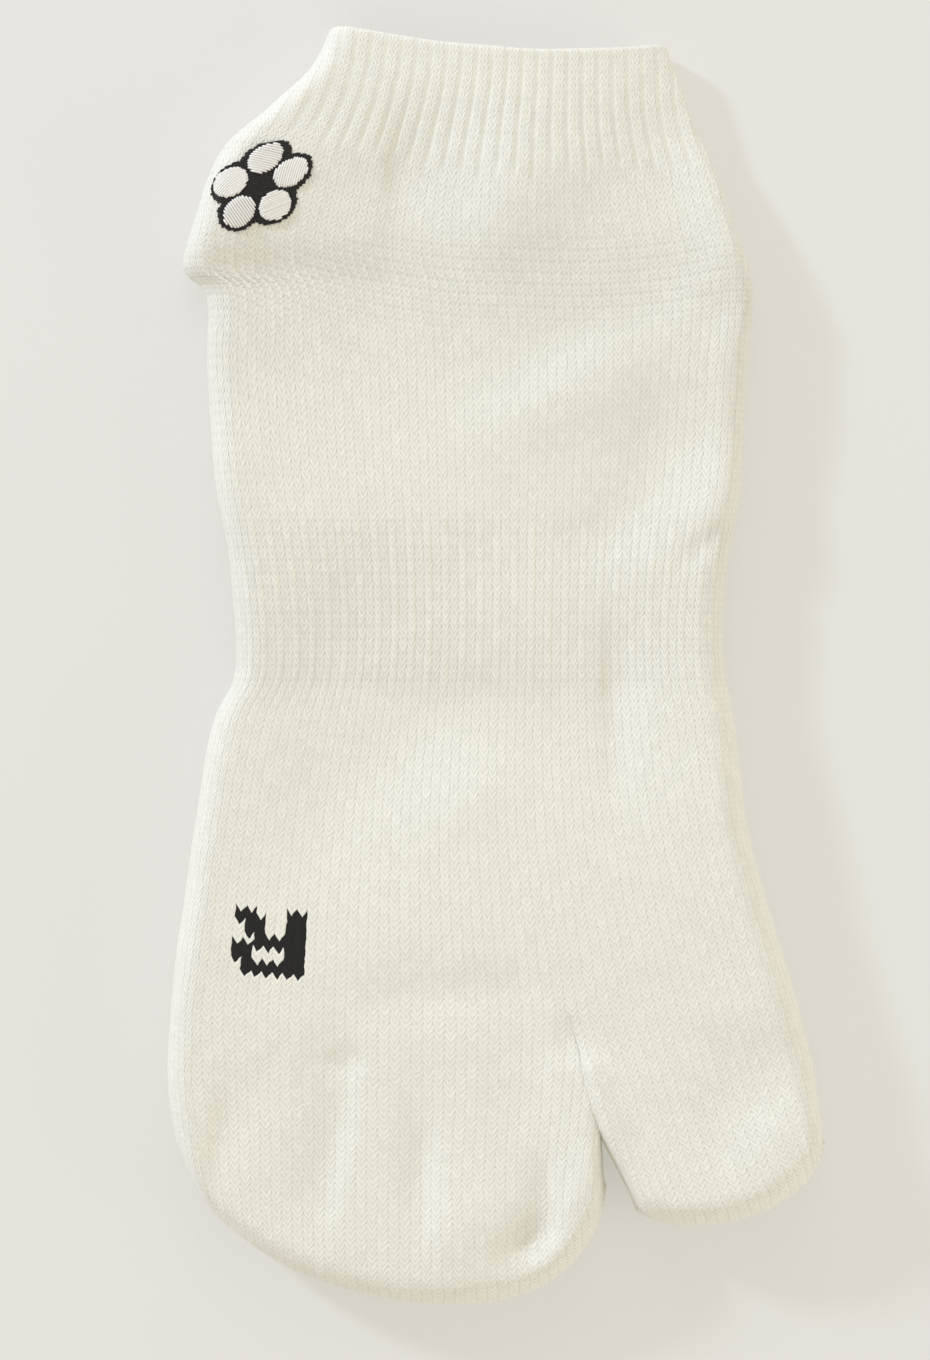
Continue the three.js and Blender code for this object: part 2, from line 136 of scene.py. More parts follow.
# %% Outlines of the two toe pockets
FOUR_TOE_SIDES = {
    "split": (-54.1, -57.5, 12.1, -57.5),
    "toe root": (-54.6, -68.5, 14.2, -67.0),
    "toe middle": (-53.2, -78.0, 17.2, -78.0),
    "seam end": (-49.0, -88.0, 18.1, -86.8),
}
BIG_TOE_SIDES = {
    "split": (12.1, -57.5, 50.3, -57.5),
    "toe root": (14.2, -67.0, 52.8, -66.0),
    "toe middle": (17.6, -78.0, 54.0, -73.0),
    "seam end": (23.6, -90.4, 54.7, -79.6),
}
FOUR_TOE_HANDLES = ((-36.0, -107.2), (15.0, -117.8))
BIG_TOE_HANDLES = ((31.0, -96.6), (53.0, -91.5))
TOE_ROUND = 5.0       # length over which a toe pocket rounds down to its seam
TOE_UNDER = 6.5       # length over which a toe pocket lifts off the ground to its seam
SEAM_LIFT = 4.2       # height of the toe seams above the ground
TOE_PRESS = 0.5       # how far the two toe pockets are moved into each other at first, before the relief
# Depth of the valley between the toes, from the start of a pocket to its seam.
VALLEY = (0.0, 0.1, 0.14, 0.18, 0.26, 0.42, 0.7, 1.0, 1.0)

# %% [markdown]
# ## Creases
# Soft cotton that has been folded and smoothed by hand keeps shallow troughs and ridges. They could come
# from a cloth simulation, but then nobody chooses where they fall, so each one is listed: a soft hill or
# hollow with a middle, a length, a width and a direction. A fold that leans has one steep flank and one
# gentle one, as a real crease has.

# %% Table of creases
# Each crease: x and y of its middle, length, width, turn in degrees, rise, and how far it leans.
FOLDS = {
    "cuff crest": (-9.0, 99.0, 30, 26, 90, 0.7, 0.0),
    "cuff trough": (32.5, 95.0, 38, 26, 97, -3.5, 0.2),
    "ankle, broad": (-3.0, 56.0, 90, 46, -3, -2.6, -0.1),
    "heel cup, left": (-42.0, 77.5, 24, 16, 65, 1.2, 0.0),
    "valley beside the heel cup": (-12.5, 79.5, 28, 22, 82, -2.0, 0.15),
    "crease under the cuff": (-15.6, 80.5, 18, 8, 88, -1.1, -0.5),
    "heel lip": (-43.0, 64.4, 27, 8, 2, -0.85, -0.45),
    "heel lip, inner": (-29.0, 63.5, 30, 9, -10, -0.5, -0.3),
    "ridge above the instep": (2.0, 78.0, 20, 12, 80, 0.9, 0.0),
    "ankle dent": (16.5, 77.0, 18, 12, 74, -0.9, 0.0),
    "right of the ankle": (31.0, 75.0, 40, 24, 98, -2.8, 0.1),
    "dent at the side": (39.0, 60.0, 10, 8, 60, -1.1, 0.0),
    "instep ridge": (13.5, 46.5, 44, 13, 30, 1.5, 0.0),
    "instep hollow": (29.0, 34.5, 25, 18, 44, -2.3, 0.0),
    "instep hollow, lower": (19.5, 23.0, 18, 12, 35, -1.4, 0.0),
    "side pinch": (35.6, 20.6, 10, 4, 40, -0.95, 0.0),
    "hollow in the arch": (-25.5, 3.0, 26, 15, 78, -0.8, 0.0),
    "drop below the arch": (-3.0, -9.5, 50, 21, -3, -1.1, -0.6),
    "arch trough": (19.8, -6.0, 25, 6.5, 90, -1.3, -0.3),
    "ridge of the inner foot": (34.0, -22.0, 64, 20, 97, 1.0, 0.0),
    "hollow behind the ball": (-22.0, -18.0, 38, 34, 72, -2.2, -0.1),
    "ball": (-3.5, -22.0, 18, 12, 30, 0.9, 0.0),
    "hollow before the ball": (-8.0, -54.5, 30, 9, 4, -1.0, 0.0),
    "toe crease, outer": (-44.8, -78.0, 18, 6, 80, -0.9, -0.3),
    "toe crease, middle": (-27.3, -79.0, 29, 8, 80, -1.5, 0.4),
    "toe crease, start": (-25.0, -65.6, 8, 4, 12, -0.6, 0.0),
    "toe crease, inner": (-12.3, -85.0, 22, 6, 89, -1.5, 0.2),
    "dip of the second toe": (4.0, -72.0, 22, 13, 84, -1.0, 0.0),
    "toe pad": (-5.0, -93.5, 22, 17, 75, 1.7, 0.0),
    "toe hook, side": (8.2, -87.5, 14, 4.5, 92, -1.0, 0.3),
    "toe hook, end": (5.6, -95.5, 11, 6, 40, -1.6, 0.0),
    "toe roll": (13.0, -90.0, 24, 6, 72, 1.1, 0.0),
    "big toe trough": (36.5, -77.5, 18, 9, 66, -0.3, 0.0),
    "top of the big toe": (38.0, -90.0, 26, 32, 66, 1.7, 0.0),
    "big toe ridge": (47.5, -79.0, 20, 13, 62, 1.9, 0.0),
    "dip where the toes part": (12.6, -62.0, 14, 6, 97, -0.9, -0.3),
    "rim of the big toe": (17.0, -71.0, 32, 4, 107, 0.8, 0.0),
}

SOLE_FOLDS = {
    "cuff crest": (-9.0, 99.0, 30, 26, 90, 0.7, 0.0),
    "cuff trough": (29.0, 94.0, 40, 26, 97, -2.2, 0.2),
    "ankle, broad": (-3.0, 56.0, 84, 38, -3, -2.0, 0.0),
    "under the heel": (8.0, 84.0, 40, 7, 12, 0.7, 0.0),
    "heel, side": (-30.0, 60.0, 30, 6, 62, 0.8, 0.0),
    "under the arch": (14.0, 12.0, 44, 8, 74, 0.8, 0.0),
    "arch, side": (-24.0, -2.0, 36, 6, 105, 0.7, 0.0),
    "ball": (-6.0, -38.0, 52, 9, 14, 0.6, 0.0),
    "under the toes": (-26.0, -74.0, 30, 6, 68, 0.8, 0.0),
    "under the inner toes": (-4.0, -80.0, 26, 5, 96, 0.7, 0.0),
    "under the big toe": (38.0, -72.0, 24, 5, 70, 0.7, 0.0),
}


def fold_height(x, y, folds=FOLDS):
    height = np.zeros(np.broadcast(x, y).shape)
    for fold_x, fold_y, length, width, turn, rise, lean in folds.values():
        angle = math.radians(turn)
        along = (x - fold_x) * math.cos(angle) + (y - fold_y) * math.sin(angle)
        across = (y - fold_y) * math.cos(angle) - (x - fold_x) * math.sin(angle)
        flank = width * (1 + lean * np.tanh(2 * across / width))
        height = height + rise * np.exp(-((2 * along / length) ** 2) - (2 * across / flank) ** 2)
    return height


print("creases on the upper face:", len(FOLDS))

# %% [markdown]
# ## From sections to rows of points
# Each row of the mesh runs once over the top and once under the sole. The upper face has five mesh columns
# to a wale, so that the ribs and wales can be raised in the mesh itself, and the sole, which nobody sees,
# has a third of that. Both faces share the two fold lines at the sides. A column number means the same line
# of stitches in every row, which is what makes the ribs run on without a break.

# %% Stations across a section
class Face:
    """How many mesh columns a face has: in all, round each side, and up to the line of the split."""

    def __init__(self, count, arc, split, extra):
        self.count, self.arc, self.split, self.extra = count, arc, split, extra


COLUMNS_PER_WALE = 5
TOP = Face(count=324, arc=33, split=201, extra=21)
SOLE = Face(count=108, arc=11, split=67, extra=7)
FINE_TO_COARSE = TOP.count // SOLE.count


def spread(face, width, inset, side_round, split_at):
    """Distance of each column from the left fold: round the sides, then evenly to the line of the split."""
    column = np.arange(face.count + 1)[None, :]
    turn = np.minimum(np.minimum(column, face.count - column), face.arc) / face.arc * math.pi / 2
    inward = side_round * (1 - np.cos(turn))
    near, far = inset + side_round, width - inset - side_round
    to_split = near + (split_at - near) * (column - face.arc) / (face.split - face.arc)
    past_split = split_at + (far - split_at) * (column - face.split) / (face.count - face.arc - face.split)
    distance = np.where(column <= face.split, to_split, past_split)
    distance = np.where(column < face.arc, inset + inward, distance)
    distance = np.where(column > face.count - face.arc, width - inset - inward, distance)
    return distance, np.sin(turn) + 0 * width


def body_stations(face, width, calm_left, calm_right, inset, side_round):
    """The sides follow the outline, and the middle keeps to calmer lines, calm_left and calm_right in."""
    distance, rise = spread(face, width, inset, side_round, SPLIT_SHARE * width)
    calm_width = width - calm_left - calm_right
    calm, _ = spread(face, calm_width, inset, side_round, SPLIT_SHARE * calm_width)
    from_side = np.minimum(distance, width - distance)
    return mix(distance, calm + calm_left, smooth((from_side - 5) / 22)), rise


def upper_height(x, y, share, ceiling, lift, rise):
    full = ceiling * (1 + SIDE_ROLL - MIDDLE_SAG * (1 - (2 * share - 1) ** 4)) + fold_height(x, y)
    return lift + (full - lift) * rise


def lower_height(x, y, inset, lift, rise):
    crease = 0 if inset else fold_height(x, y, SOLE_FOLDS)
    return lift - (lift - inset - crease) * rise


# %% Rows of the leg and foot
CALM_LENGTH = 13.0    # length over which the wales in the middle even out the outline


def section_at(place):
    left = line_through(section_table[:, 0:2], place)
    right = line_through(section_table[:, 2:4], place)
    return left, right, even(column_of["thick"], place), even(column_of["hollow"], place)


def calmed(side):
    """Places of one side, and how far its own x is from an evened-out one."""
    places = np.linspace(0, LAST, 800)
    x, y = line_through(side, places).T
    steps = np.arange(y[-1], y[0], 0.25)
    sampled = np.interp(steps, y[::-1], x[::-1])
    ends = len(steps) // 2
    before, after = 2 * sampled[0] - sampled[ends:0:-1], 2 * sampled[-1] - sampled[-2:-ends:-1]
    padded = np.concatenate([before, sampled, after])
    weight = np.exp(-((np.arange(-120, 121) * 0.25 / CALM_LENGTH) ** 2))
    evened = np.convolve(padded, weight / weight.sum(), "same")[ends:ends + len(steps)]
    return places, np.interp(y, steps, evened) - x


LEFT_CALM, RIGHT_CALM = calmed(section_table[:, 0:2]), calmed(section_table[:, 2:4])
left_split, right_split = section_table[LAST, 0:2], section_table[LAST, 2:4]
SPLIT_SHARE = (SPLIT_X - left_split[0]) / (right_split[0] - left_split[0])


def plan_points(place, share):
    left, right, _, _ = section_at(place)
    points = left[:, None, :] + (right - left)[:, None, :] * share[..., None]
    points[..., 1] -= even(column_of["sag"], place)[:, None] * 4 * share * (1 - share)
    return points


def body_rows(face, place, inset=0.0, under=False):
    """Points of one face of the leg and foot: an array of rows, columns and x, y, z."""
    left, right, thick, hollow = section_at(place)
    width = np.linalg.norm(right - left, axis=1)[:, None]
    side_round = UNDERSIDE - inset / 2 if under else SHOULDER - inset
    calm_left, calm_right = np.interp(place, *LEFT_CALM)[:, None], -np.interp(place, *RIGHT_CALM)[:, None]
    distance, rise = body_stations(face, width, calm_left, calm_right, inset, side_round)
    share = distance / width
    plan = plan_points(place, share)
    lift = (thick * FOLD_LIFT)[:, None]
    ceiling = (hollow if inset else thick)[:, None]
    if under:
        height = lower_height(plan[..., 0], plan[..., 1], inset, lift, rise)
    else:
        height = upper_height(plan[..., 0], plan[..., 1], share, ceiling, lift, rise)
    return np.dstack([plan, height]), share


# %% Lay out the rows
ROW_STEP = 1.3        # distance between rows of the mesh
RIM_PLACE = 0.15      # where the outer face stops and the rim starts to curl over


def row_places():
    places = []
    for index in range(LAST):
        length = np.linalg.norm(section_table[index + 1, 0:2] - section_table[index, 0:2])
        steps = max(1, round(length / ROW_STEP))
        places += [index + step / steps for step in range(steps)]
    return np.array([RIM_PLACE, *(place for place in places if place > RIM_PLACE), float(LAST)])


outer_places = row_places()
top_points, top_share = body_rows(TOP, outer_places)
sole_points, sole_share = body_rows(SOLE, outer_places, under=True)
print("rows from the cuff to the split:", len(outer_places))

# %% [markdown]
# ## Toe pockets
# Past the split the tube becomes two smaller ones. Their rows start straight and bow out more and more,
# until the last one lies on the seam that closes the toe. The wall between the toes grows out of the line
# where they part: at first it is an upright slit, and then its top edge rounds off into a valley. Real
# walls press on each other there. These two run into each other by up to 0.9 mm, half of their thickness,
# which shuts the slit.

# %% Rows of a toe pocket
def bezier(points, t):
    a, b, c, d = (np.asarray(point, float) for point in points)
    t = t[..., None]
    return (1 - t) ** 3 * a + 3 * (1 - t) ** 2 * t * b + 3 * (1 - t) * t ** 2 * c + t ** 3 * d


class Pocket:
    """One toe pocket: its sides, its seam, and on which of its sides the split lies."""

    def __init__(self, sides, handles, split_on_right):
        table = np.array(list(sides.values()))
        self.left, self.right, self.split_on_right = table[:, 0:2], table[:, 2:4], split_on_right
        self.seam = (self.left[-1], *handles, self.right[-1])

    def plan(self, down, share):
        left = line_through(self.left, down * 3)
        right = line_through(self.right, down * 3)
        press = TOE_PRESS / 2 * smooth(down * 10) * smooth((0.74 - down) / 0.15)
        if self.split_on_right:
            right[:, 0] += press
        else:
            left[:, 0] -= press
        straight = left[:, None, :] + (right - left)[:, None, :] * share[..., None]
        chord = self.left[-1] + (self.right[-1] - self.left[-1]) * share[..., None]
        return straight + (bezier(self.seam, share) - chord) * (down ** 1.6)[:, None, None]

    def stations(self, face, width, inset, outer_round, inner_round, down):
        """As across the body, but at the split the side stands upright first and then rounds over."""
        outer = face.split if self.split_on_right else face.count - face.split
        count = outer + face.extra
        column = np.arange(count + 1)[None, :]
        valley = even(VALLEY, down * (len(VALLEY) - 1))[:, None]
        outer_turn = np.minimum(column, face.arc) / face.arc * math.pi / 2
        inner_share = np.minimum(count - column, face.arc) / face.arc
        upright = face.extra / face.arc * (1 - valley)
        over = np.clip((inner_share - upright) / (1 - upright), 0, 1)
        near = inset + outer_round
        at_first = (width - inset - near) * (face.arc - face.extra) / (outer - face.arc)
        inner_round = mix(at_first, inner_round, smooth(down * 2)[:, None])
        inner_in = inner_round * mix(over, 1 - np.cos(over * math.pi / 2), smooth(valley * 5))
        inner_rise = (1 - valley) * np.minimum(1, inner_share / np.maximum(upright, 1e-6))
        inner_rise = inner_rise + valley * np.sin(over * math.pi / 2)
        far = width - inset - inner_round
        distance = near + (far - near) * (column - face.arc) / (count - 2 * face.arc)
        distance = np.where(column < face.arc, inset + outer_round * (1 - np.cos(outer_turn)), distance)
        distance = np.where(column > count - face.arc, width - inset - inner_in, distance)
        rise = np.sin(outer_turn) * inner_rise
        if not self.split_on_right:
            distance, rise = (width - distance)[:, ::-1], rise[:, ::-1]
        return distance, rise

    def rows(self, face, down, close_at=1.0, inset=0.0, under=False):
        ends = np.zeros((len(down), 1)), np.ones((len(down), 1))
        left, right = (self.plan(down, end)[:, 0, :] for end in ends)
        width = np.linalg.norm(right - left, axis=1)[:, None]
        closing = smooth((down / close_at - 0.8) * 5)[:, None]
        side_round = mix(UNDERSIDE - inset / 2, SHOULDER - inset, closing) if under else SHOULDER - inset
        distance, rise = self.stations(face, width, inset, side_round, side_round, down)
        share = distance / width
        plan = self.plan(down, share)
        to_seam = np.linalg.norm(self.plan(np.full(len(down), close_at), share) - plan, axis=2)
        thick, hollow = column_of["thick"][LAST], column_of["hollow"][LAST]
        lift = mix(thick * FOLD_LIFT, SEAM_LIFT, smooth(down))[:, None]
        rise = rise * round_over(to_seam, TOE_UNDER if under else TOE_ROUND)
        if under:
            height = lower_height(plan[..., 0], plan[..., 1], inset, lift, rise)
        else:
            body_share = share * SPLIT_SHARE if self.split_on_right else mix(SPLIT_SHARE, 1, share)
            crown_share = mix(body_share, share, smooth(down * 3)[:, None])
            ceiling = hollow if inset else thick
            height = upper_height(plan[..., 0], plan[..., 1], crown_share, ceiling, lift, rise)
        return np.dstack([plan, height])


four_toes = Pocket(FOUR_TOE_SIDES, FOUR_TOE_HANDLES, split_on_right=True)
big_toe = Pocket(BIG_TOE_SIDES, BIG_TOE_HANDLES, split_on_right=False)
PLAIN_ROWS, ROUND_ROWS, ROUND_FROM = 30, 12, 0.8
plain_down = np.linspace(0, ROUND_FROM, PLAIN_ROWS + 1)[1:]
rounding = np.cos(np.linspace(math.pi / 2, 0, ROUND_ROWS + 1)[1:])
pocket_down = np.concatenate([plain_down, ROUND_FROM + (1 - ROUND_FROM) * rounding])
print("rows of each toe pocket:", len(pocket_down))

# %% [markdown]
# ## The knit's own map
# Every spot of a knitted tube has an address: which wale it is in and which course. Wales run along the
# sock and courses run round it. Counting them in the mesh, instead of laying a flat pattern over it, keeps
# stitches the right size on the curves and lets them fan out over the heel as real ones do. In the foot the
# mesh columns follow the wales exactly. In the leg the wales are spread from one straight one by the width
# that a wale has there, and on top of the toe pockets they keep one width.

# %% Counting wales and courses
WALES_ROUND_LEG = 100
WALES_ROUND_FOOT = 124
HEEL_TURN = SECTION_NAMES.index("ankle")
SPLIT_WALE = TOP.split / COLUMNS_PER_WALE


def along(points, axis):
    """Distance along each row or column of a grid of points."""
    steps = np.linalg.norm(np.diff(points, axis=axis), axis=2)
    return np.insert(np.cumsum(steps, axis=axis), 0, 0, axis=axis)


def top_wales(points, places):
    girth = along(points, 1)
    spread = (girth - girth[:, TOP.split][:, None]) / even(column_of["wale"], places)[:, None]
    foot = np.arange(TOP.count + 1)[None, :] / COLUMNS_PER_WALE
    return mix(SPLIT_WALE + spread, foot, smooth((places - 4.3) / 1.2)[:, None])


def sole_wales(top, columns, around):
    """The sole goes on from the left fold and has the stitches that the top leaves over."""
    under = around - (top[:, -1] - top[:, 0])
    return top[:, 0][:, None] - under[:, None] * np.arange(columns + 1)[None, :] / columns


def count_courses(points, height, start=0.0):
    steps = np.diff(along(points, 0), axis=0) / height[1:, None]
    return start + np.insert(np.cumsum(steps, axis=0), 0, 0, axis=0)


def bowed(courses, share, places):
    bow = even(column_of["bow"], places) / even(column_of["course"], places)
    return courses - bow[:, None] * 4 * share * (1 - share)


course_height = even(column_of["course"], outer_places)
top_wale = top_wales(top_points, outer_places)
leg_wale = sole_wales(top_wale, SOLE.count, WALES_ROUND_LEG)
foot_wale = sole_wales(top_wale, SOLE.count, WALES_ROUND_FOOT)
sole_wale = np.where(outer_places[:, None] < HEEL_TURN, leg_wale, foot_wale)
straightened = smooth((outer_places - 6.0) / 2.5)[:, None]
top_course, sole_course = (count_courses(points, course_height) for points in (top_points, sole_points))
middle_course = top_course[:, TOP.split][:, None]
top_course = bowed(mix(top_course, middle_course, straightened), top_share, outer_places)
sole_course = bowed(mix(sole_course, middle_course, straightened), sole_share, outer_places)
print("wales across the cuff, the arch and the split:",
      [round(float(np.ptp(top_wale[row])), 1) for row in (0, len(outer_places) // 2, -1)])

# %% [markdown]
# ## Ribs and wales in the mesh
# The cuff is knitted in ribs: one raised wale, then a sunk one. The elastic band round the arch has thin
# ribs that are further apart in effect, because most of it is pulled flat. Elsewhere each wale is only
# slightly rounded. Raising these in the mesh gives a true edge at the cuff, where a picture of ribs would
# end in a straight line. The ribs don't all stop at the same course, since a hand-smoothed cuff never lies
# quite even.

# %% Height of the ribs
CUFF_COURSES = 17.2
RIB_HEIGHT = 0.22
BAND_RIB_HEIGHT = 0.15
WALE_HEIGHT = 0.03
GROOVE_WIDTH, RIB_WIDTH = 0.15, 0.10     # of a cuff groove and a band rib, in pairs of wales
# Each zone: where it ends towards the cuff and how long its fade is, then the same towards the toes.
BAND_ZONE = (25.5, 3, -5.5, 3)
COMPACT_ZONE = (73, 4, 54, 5)
# The ankle's zone, over which the knit's colour is darkened as painted shade.
ANKLE_SHADE_ZONE = (97, 16, 32, 28)
chance = np.random.default_rng(7)
rib_ends = chance.uniform(-1.1, 1.1, 200)


def rib_distance(wale, middle):
    """Distance, in pairs of wales, from the nearest rib or groove whose middle is given."""
    turn = (wale - middle) / 2
    return np.abs(turn - np.round(turn))


def cuff_weight(wale, course):
    end = CUFF_COURSES + rib_ends[np.floor(wale / 2).astype(int) % len(rib_ends)]
    return smooth((end + 1.2 - course) / 2.4)


def between(y, top, top_fade, bottom, bottom_fade):
    """1 inside a zone that runs round the sock and 0 outside it, with soft ends."""
    return smooth((top - y) / top_fade) * smooth((y - bottom) / bottom_fade)


def band_weight(x, y):
    return between(y, *BAND_ZONE) * mix(1, 0.7, smooth((x + 14) / 22))


def knit_relief(wale, course, x, y, places):
    cuff = cuff_weight(wale, course)
    groove = np.exp(-((rib_distance(wale, 1.5) / GROOVE_WIDTH) ** 2)) * smooth((course + 1.0) / 2.6)
    rib = np.exp(-((rib_distance(wale, 0.5) / RIB_WIDTH) ** 2))
    rounded = np.sin(math.pi * (wale - np.floor(wale))) ** 0.7 - 0.6
    in_foot = smooth((places - 5.0) / 1.0)
    relief = cuff * RIB_HEIGHT * mix(0.6, 1.0, smooth(course / 12)) * (0.35 - groove)
    relief = relief + band_weight(x, y) * BAND_RIB_HEIGHT * (rib - 0.35)
    return relief + WALE_HEIGHT * rounded * in_foot * (1 - 0.6 * band_weight(x, y))


# %% [markdown]
# ## Sewing the mesh together
# One object holds the whole cloth: the outer face, the rim curling over at the cuff, and the inner face
# that is seen through the cuff. A thin closed skin is better than a single sheet, because the rim then has
# a real thickness. Its faces know their wale and course at each corner, so that the two sides of a fold can
# count differently without smearing the stitches.

# %% A skin of points and faces
class Skin:
    def __init__(self):
        self.points, self.faces, self.knit, self.count = [], [], [], 0

    def add(self, points):
        """Adds a grid of points and returns their numbers in the same grid."""
        numbers = np.arange(self.count, self.count + points[..., 0].size).reshape(points.shape[:-1])
        self.points.append(points.reshape(-1, 3))
        self.count += numbers.size
        return numbers

    def add_tube(self, top, sole):
        """Both faces of a tube, which share the points on its two folds."""
        top_numbers = self.add(top)
        rows = len(sole)
        inner = self.add(sole[:, 1:-1])
        return top_numbers, np.hstack([top_numbers[:rows, :1], inner, top_numbers[:rows, -1:]])

    def patch(self, numbers, knit, up=True):
        corners = [(slice(None, -1), slice(None, -1)), (slice(1, None), slice(None, -1)),
                   (slice(1, None), slice(1, None)), (slice(None, -1), slice(1, None))]
        if not up:
            corners.reverse()
        self.faces.append(np.stack([numbers[corner] for corner in corners], axis=-1).reshape(-1, 4))
        self.knit.append(np.stack([knit[corner] for corner in corners], axis=-2).reshape(-1, 4, 2))

    def strip(self, coarse, coarse_knit, fine, fine_knit, up=True):
        """Six-sided faces between a row and one with three times as many columns."""
        step = FINE_TO_COARSE

        def corners(few, many):
            between = (many[shift:len(many) - step + shift:step] for shift in range(step))
            return [few[:-1], *between, many[step::step], few[1:]]

        row, knit = corners(coarse, fine), corners(coarse_knit, fine_knit)
        if not up:
            row.reverse()
            knit.reverse()
        self.faces.append(np.stack(row, axis=-1))
        self.knit.append(np.stack(knit, axis=-2))


def pair(wale, course):
    return np.stack(np.broadcast_arrays(wale, course), axis=-1)


def thirds(row):
    """The values of a coarse row at the columns of a fine one."""
    fine = np.linspace(0, len(row) - 1, FINE_TO_COARSE * (len(row) - 1) + 1)
    return np.interp(fine, np.arange(len(row)), row)


skin = Skin()

# %% [markdown]
# ## Rim of the cuff
# The rim is half a circle from the outer face to the inner one, as the cast-on edge of a real cuff is. It
# starts a little below the model's rim, so that the top of the curl ends just there.

# %% Curl the rim over
RIM_STEPS = 5


def curl(face, under):
    """Rows from the inner face over the rim to the outer face, which itself is left out."""
    places = np.array([RIM_PLACE, RIM_PLACE + 0.15])
    outer, _ = body_rows(face, places, under=under)
    inner, _ = body_rows(face, places[:1], inset=WALL, under=under)
    middle, radius = (outer[0] + inner[0]) / 2, (outer[0] - inner[0]) / 2
    away = outer[0] - outer[1]
    away *= np.linalg.norm(radius, axis=1, keepdims=True) / np.linalg.norm(away, axis=1, keepdims=True)
    angles = np.linspace(math.pi, 0, RIM_STEPS + 1)[:-1]
    return np.stack([middle + radius * math.cos(angle) + away * math.sin(angle) for angle in angles])


top_all = np.concatenate([curl(TOP, False), top_points])
sole_all = np.concatenate([curl(SOLE, True), sole_points])
rim_back = -np.arange(RIM_STEPS, 0, -1)[:, None] * 0.5
top_knit = pair(np.vstack([np.repeat(top_wale[:1], RIM_STEPS, 0), top_wale]),
                np.vstack([np.repeat(rim_back, TOP.count + 1, 1), top_course]))
sole_knit = pair(np.vstack([np.repeat(sole_wale[:1], RIM_STEPS, 0), sole_wale]),
                 np.vstack([np.repeat(rim_back, SOLE.count + 1, 1), sole_course]))
top_numbers, sole_numbers = skin.add_tube(top_all, sole_all)
skin.patch(top_numbers, top_knit)
turn_row = RIM_STEPS + int(np.searchsorted(outer_places, HEEL_TURN))
leg_knit = sole_knit[:turn_row + 1].copy()
leg_knit[-1, :, 0] = leg_wale[turn_row - RIM_STEPS]
skin.patch(sole_numbers[:turn_row + 1], leg_knit, up=False)
skin.patch(sole_numbers[turn_row:], sole_knit[turn_row:], up=False)
print("points of the leg and foot:", skin.count)

# %% Sew a toe pocket on
TOE_PITCH = 1.75      # width of a wale in the toe pockets


def toe_wales(points, first, straight):
    """Wales of a pocket keep their width, and where straight is 1 they run on straight to the toe seam."""
    middle = points.shape[1] // 2
    girth = along(points, 1)
    grown = girth - girth[:, middle][:, None]
    drift = straight * (points[:, middle, 0] - points[0, middle, 0])
    return first + (grown - grown[0] + drift[:, None]) / TOE_PITCH


def sew_pocket(pocket, top_first, sole_first, top_knit_first, sole_knit_first, down, ratio, **shape):
    """Rows of a pocket from the line where it starts, given as numbers and knit addresses, to its seam."""
    faces = (TOP, SOLE) if ratio > 1 else (SOLE, SOLE)
    top = pocket.rows(faces[0], down, **shape)
    sole = pocket.rows(faces[1], down, under=True, **shape)
    top_below, sole_below = skin.add_tube(top, sole[:-1])
    seam_numbers = top_below[-1]
    height = np.full(len(down) + 1, column_of["course"][LAST])
    grids = []
    for points, below, first, knit_first in ((top, top_below, top_first, top_knit_first),
                                             (sole, sole_below, sole_first, sole_knit_first)):
        all_points = np.concatenate([np.concatenate(skin.points)[first][None], points])
        wales = knit_first[:, 0][None, :]
        if points is top:
            wales = toe_wales(all_points, wales, 1.0 if pocket.split_on_right else 0.0)
        courses = count_courses(all_points, height, knit_first[:, 1])
        grids.append((np.vstack([first, below]), pair(wales, courses)))
    (top_grid, top_address), (sole_grid, sole_address) = grids
    up = "inset" not in shape
    skin.patch(top_grid, top_address, up)
    if ratio > 1:
        skin.patch(sole_grid, sole_address[:-1], not up)
        seam = pair(thirds(sole_address[-1, :, 0]), thirds(sole_address[-1, :, 1]))
        skin.strip(sole_grid[-1], sole_address[-2], seam_numbers, seam, not up)
    else:
        skin.patch(np.vstack([sole_grid, seam_numbers]), sole_address, not up)
    return top_grid, top_address, sole_grid, sole_address


def crotch(face, **shape):
    """Points of the upright line where the two pockets part, from the face's own height to their fold."""
    return four_toes.rows(face, np.zeros(1), **shape)[0, face.split + 1:]


def extended(row_knit, face, pitch, to_right):
    """Knit addresses of a pocket's first row, going on up the wall between the toes."""
    extra = np.arange(1, face.extra + 1)
    if to_right:
        part = row_knit[:face.split + 1]
        wall = pair(part[-1, 0] + pitch * extra, part[-1, 1])
        return np.vstack([part, wall])
    part = row_knit[face.split:]
    wall = pair(part[0, 0] - pitch * extra[::-1], part[0, 1])
    return np.vstack([wall, part])


def part_toes(top_row, sole_row, top_row_knit, sole_row_knit, top_crotch, sole_crotch, down, ratio, **shape):
    """Sews both pockets to the last row of the foot."""
    top_face = TOP if ratio > 1 else SOLE
    top_wall, sole_wall = skin.add(top_crotch), skin.add(sole_crotch[:-1])
    sole_wall = np.append(sole_wall, top_wall[-1])
    top_pitch = (top_row_knit[-1, 0] - top_row_knit[0, 0]) / (len(top_row) - 1)
    sole_pitch = (sole_row_knit[-1, 0] - sole_row_knit[0, 0]) / (len(sole_row) - 1)
    made = []
    for pocket in (four_toes, big_toe):
        on_left = pocket.split_on_right
        cut_top = top_row[:top_face.split + 1] if on_left else top_row[top_face.split:]
        cut_sole = sole_row[:SOLE.split + 1] if on_left else sole_row[SOLE.split:]
        first_top = np.append(cut_top, top_wall) if on_left else np.append(top_wall[::-1], cut_top)
        first_sole = np.append(cut_sole, sole_wall) if on_left else np.append(sole_wall[::-1], cut_sole)
        made.append(sew_pocket(pocket, first_top, first_sole,
                               extended(top_row_knit, top_face, top_pitch, on_left),
                               extended(sole_row_knit, SOLE, sole_pitch, on_left), down, ratio, **shape))
    return made


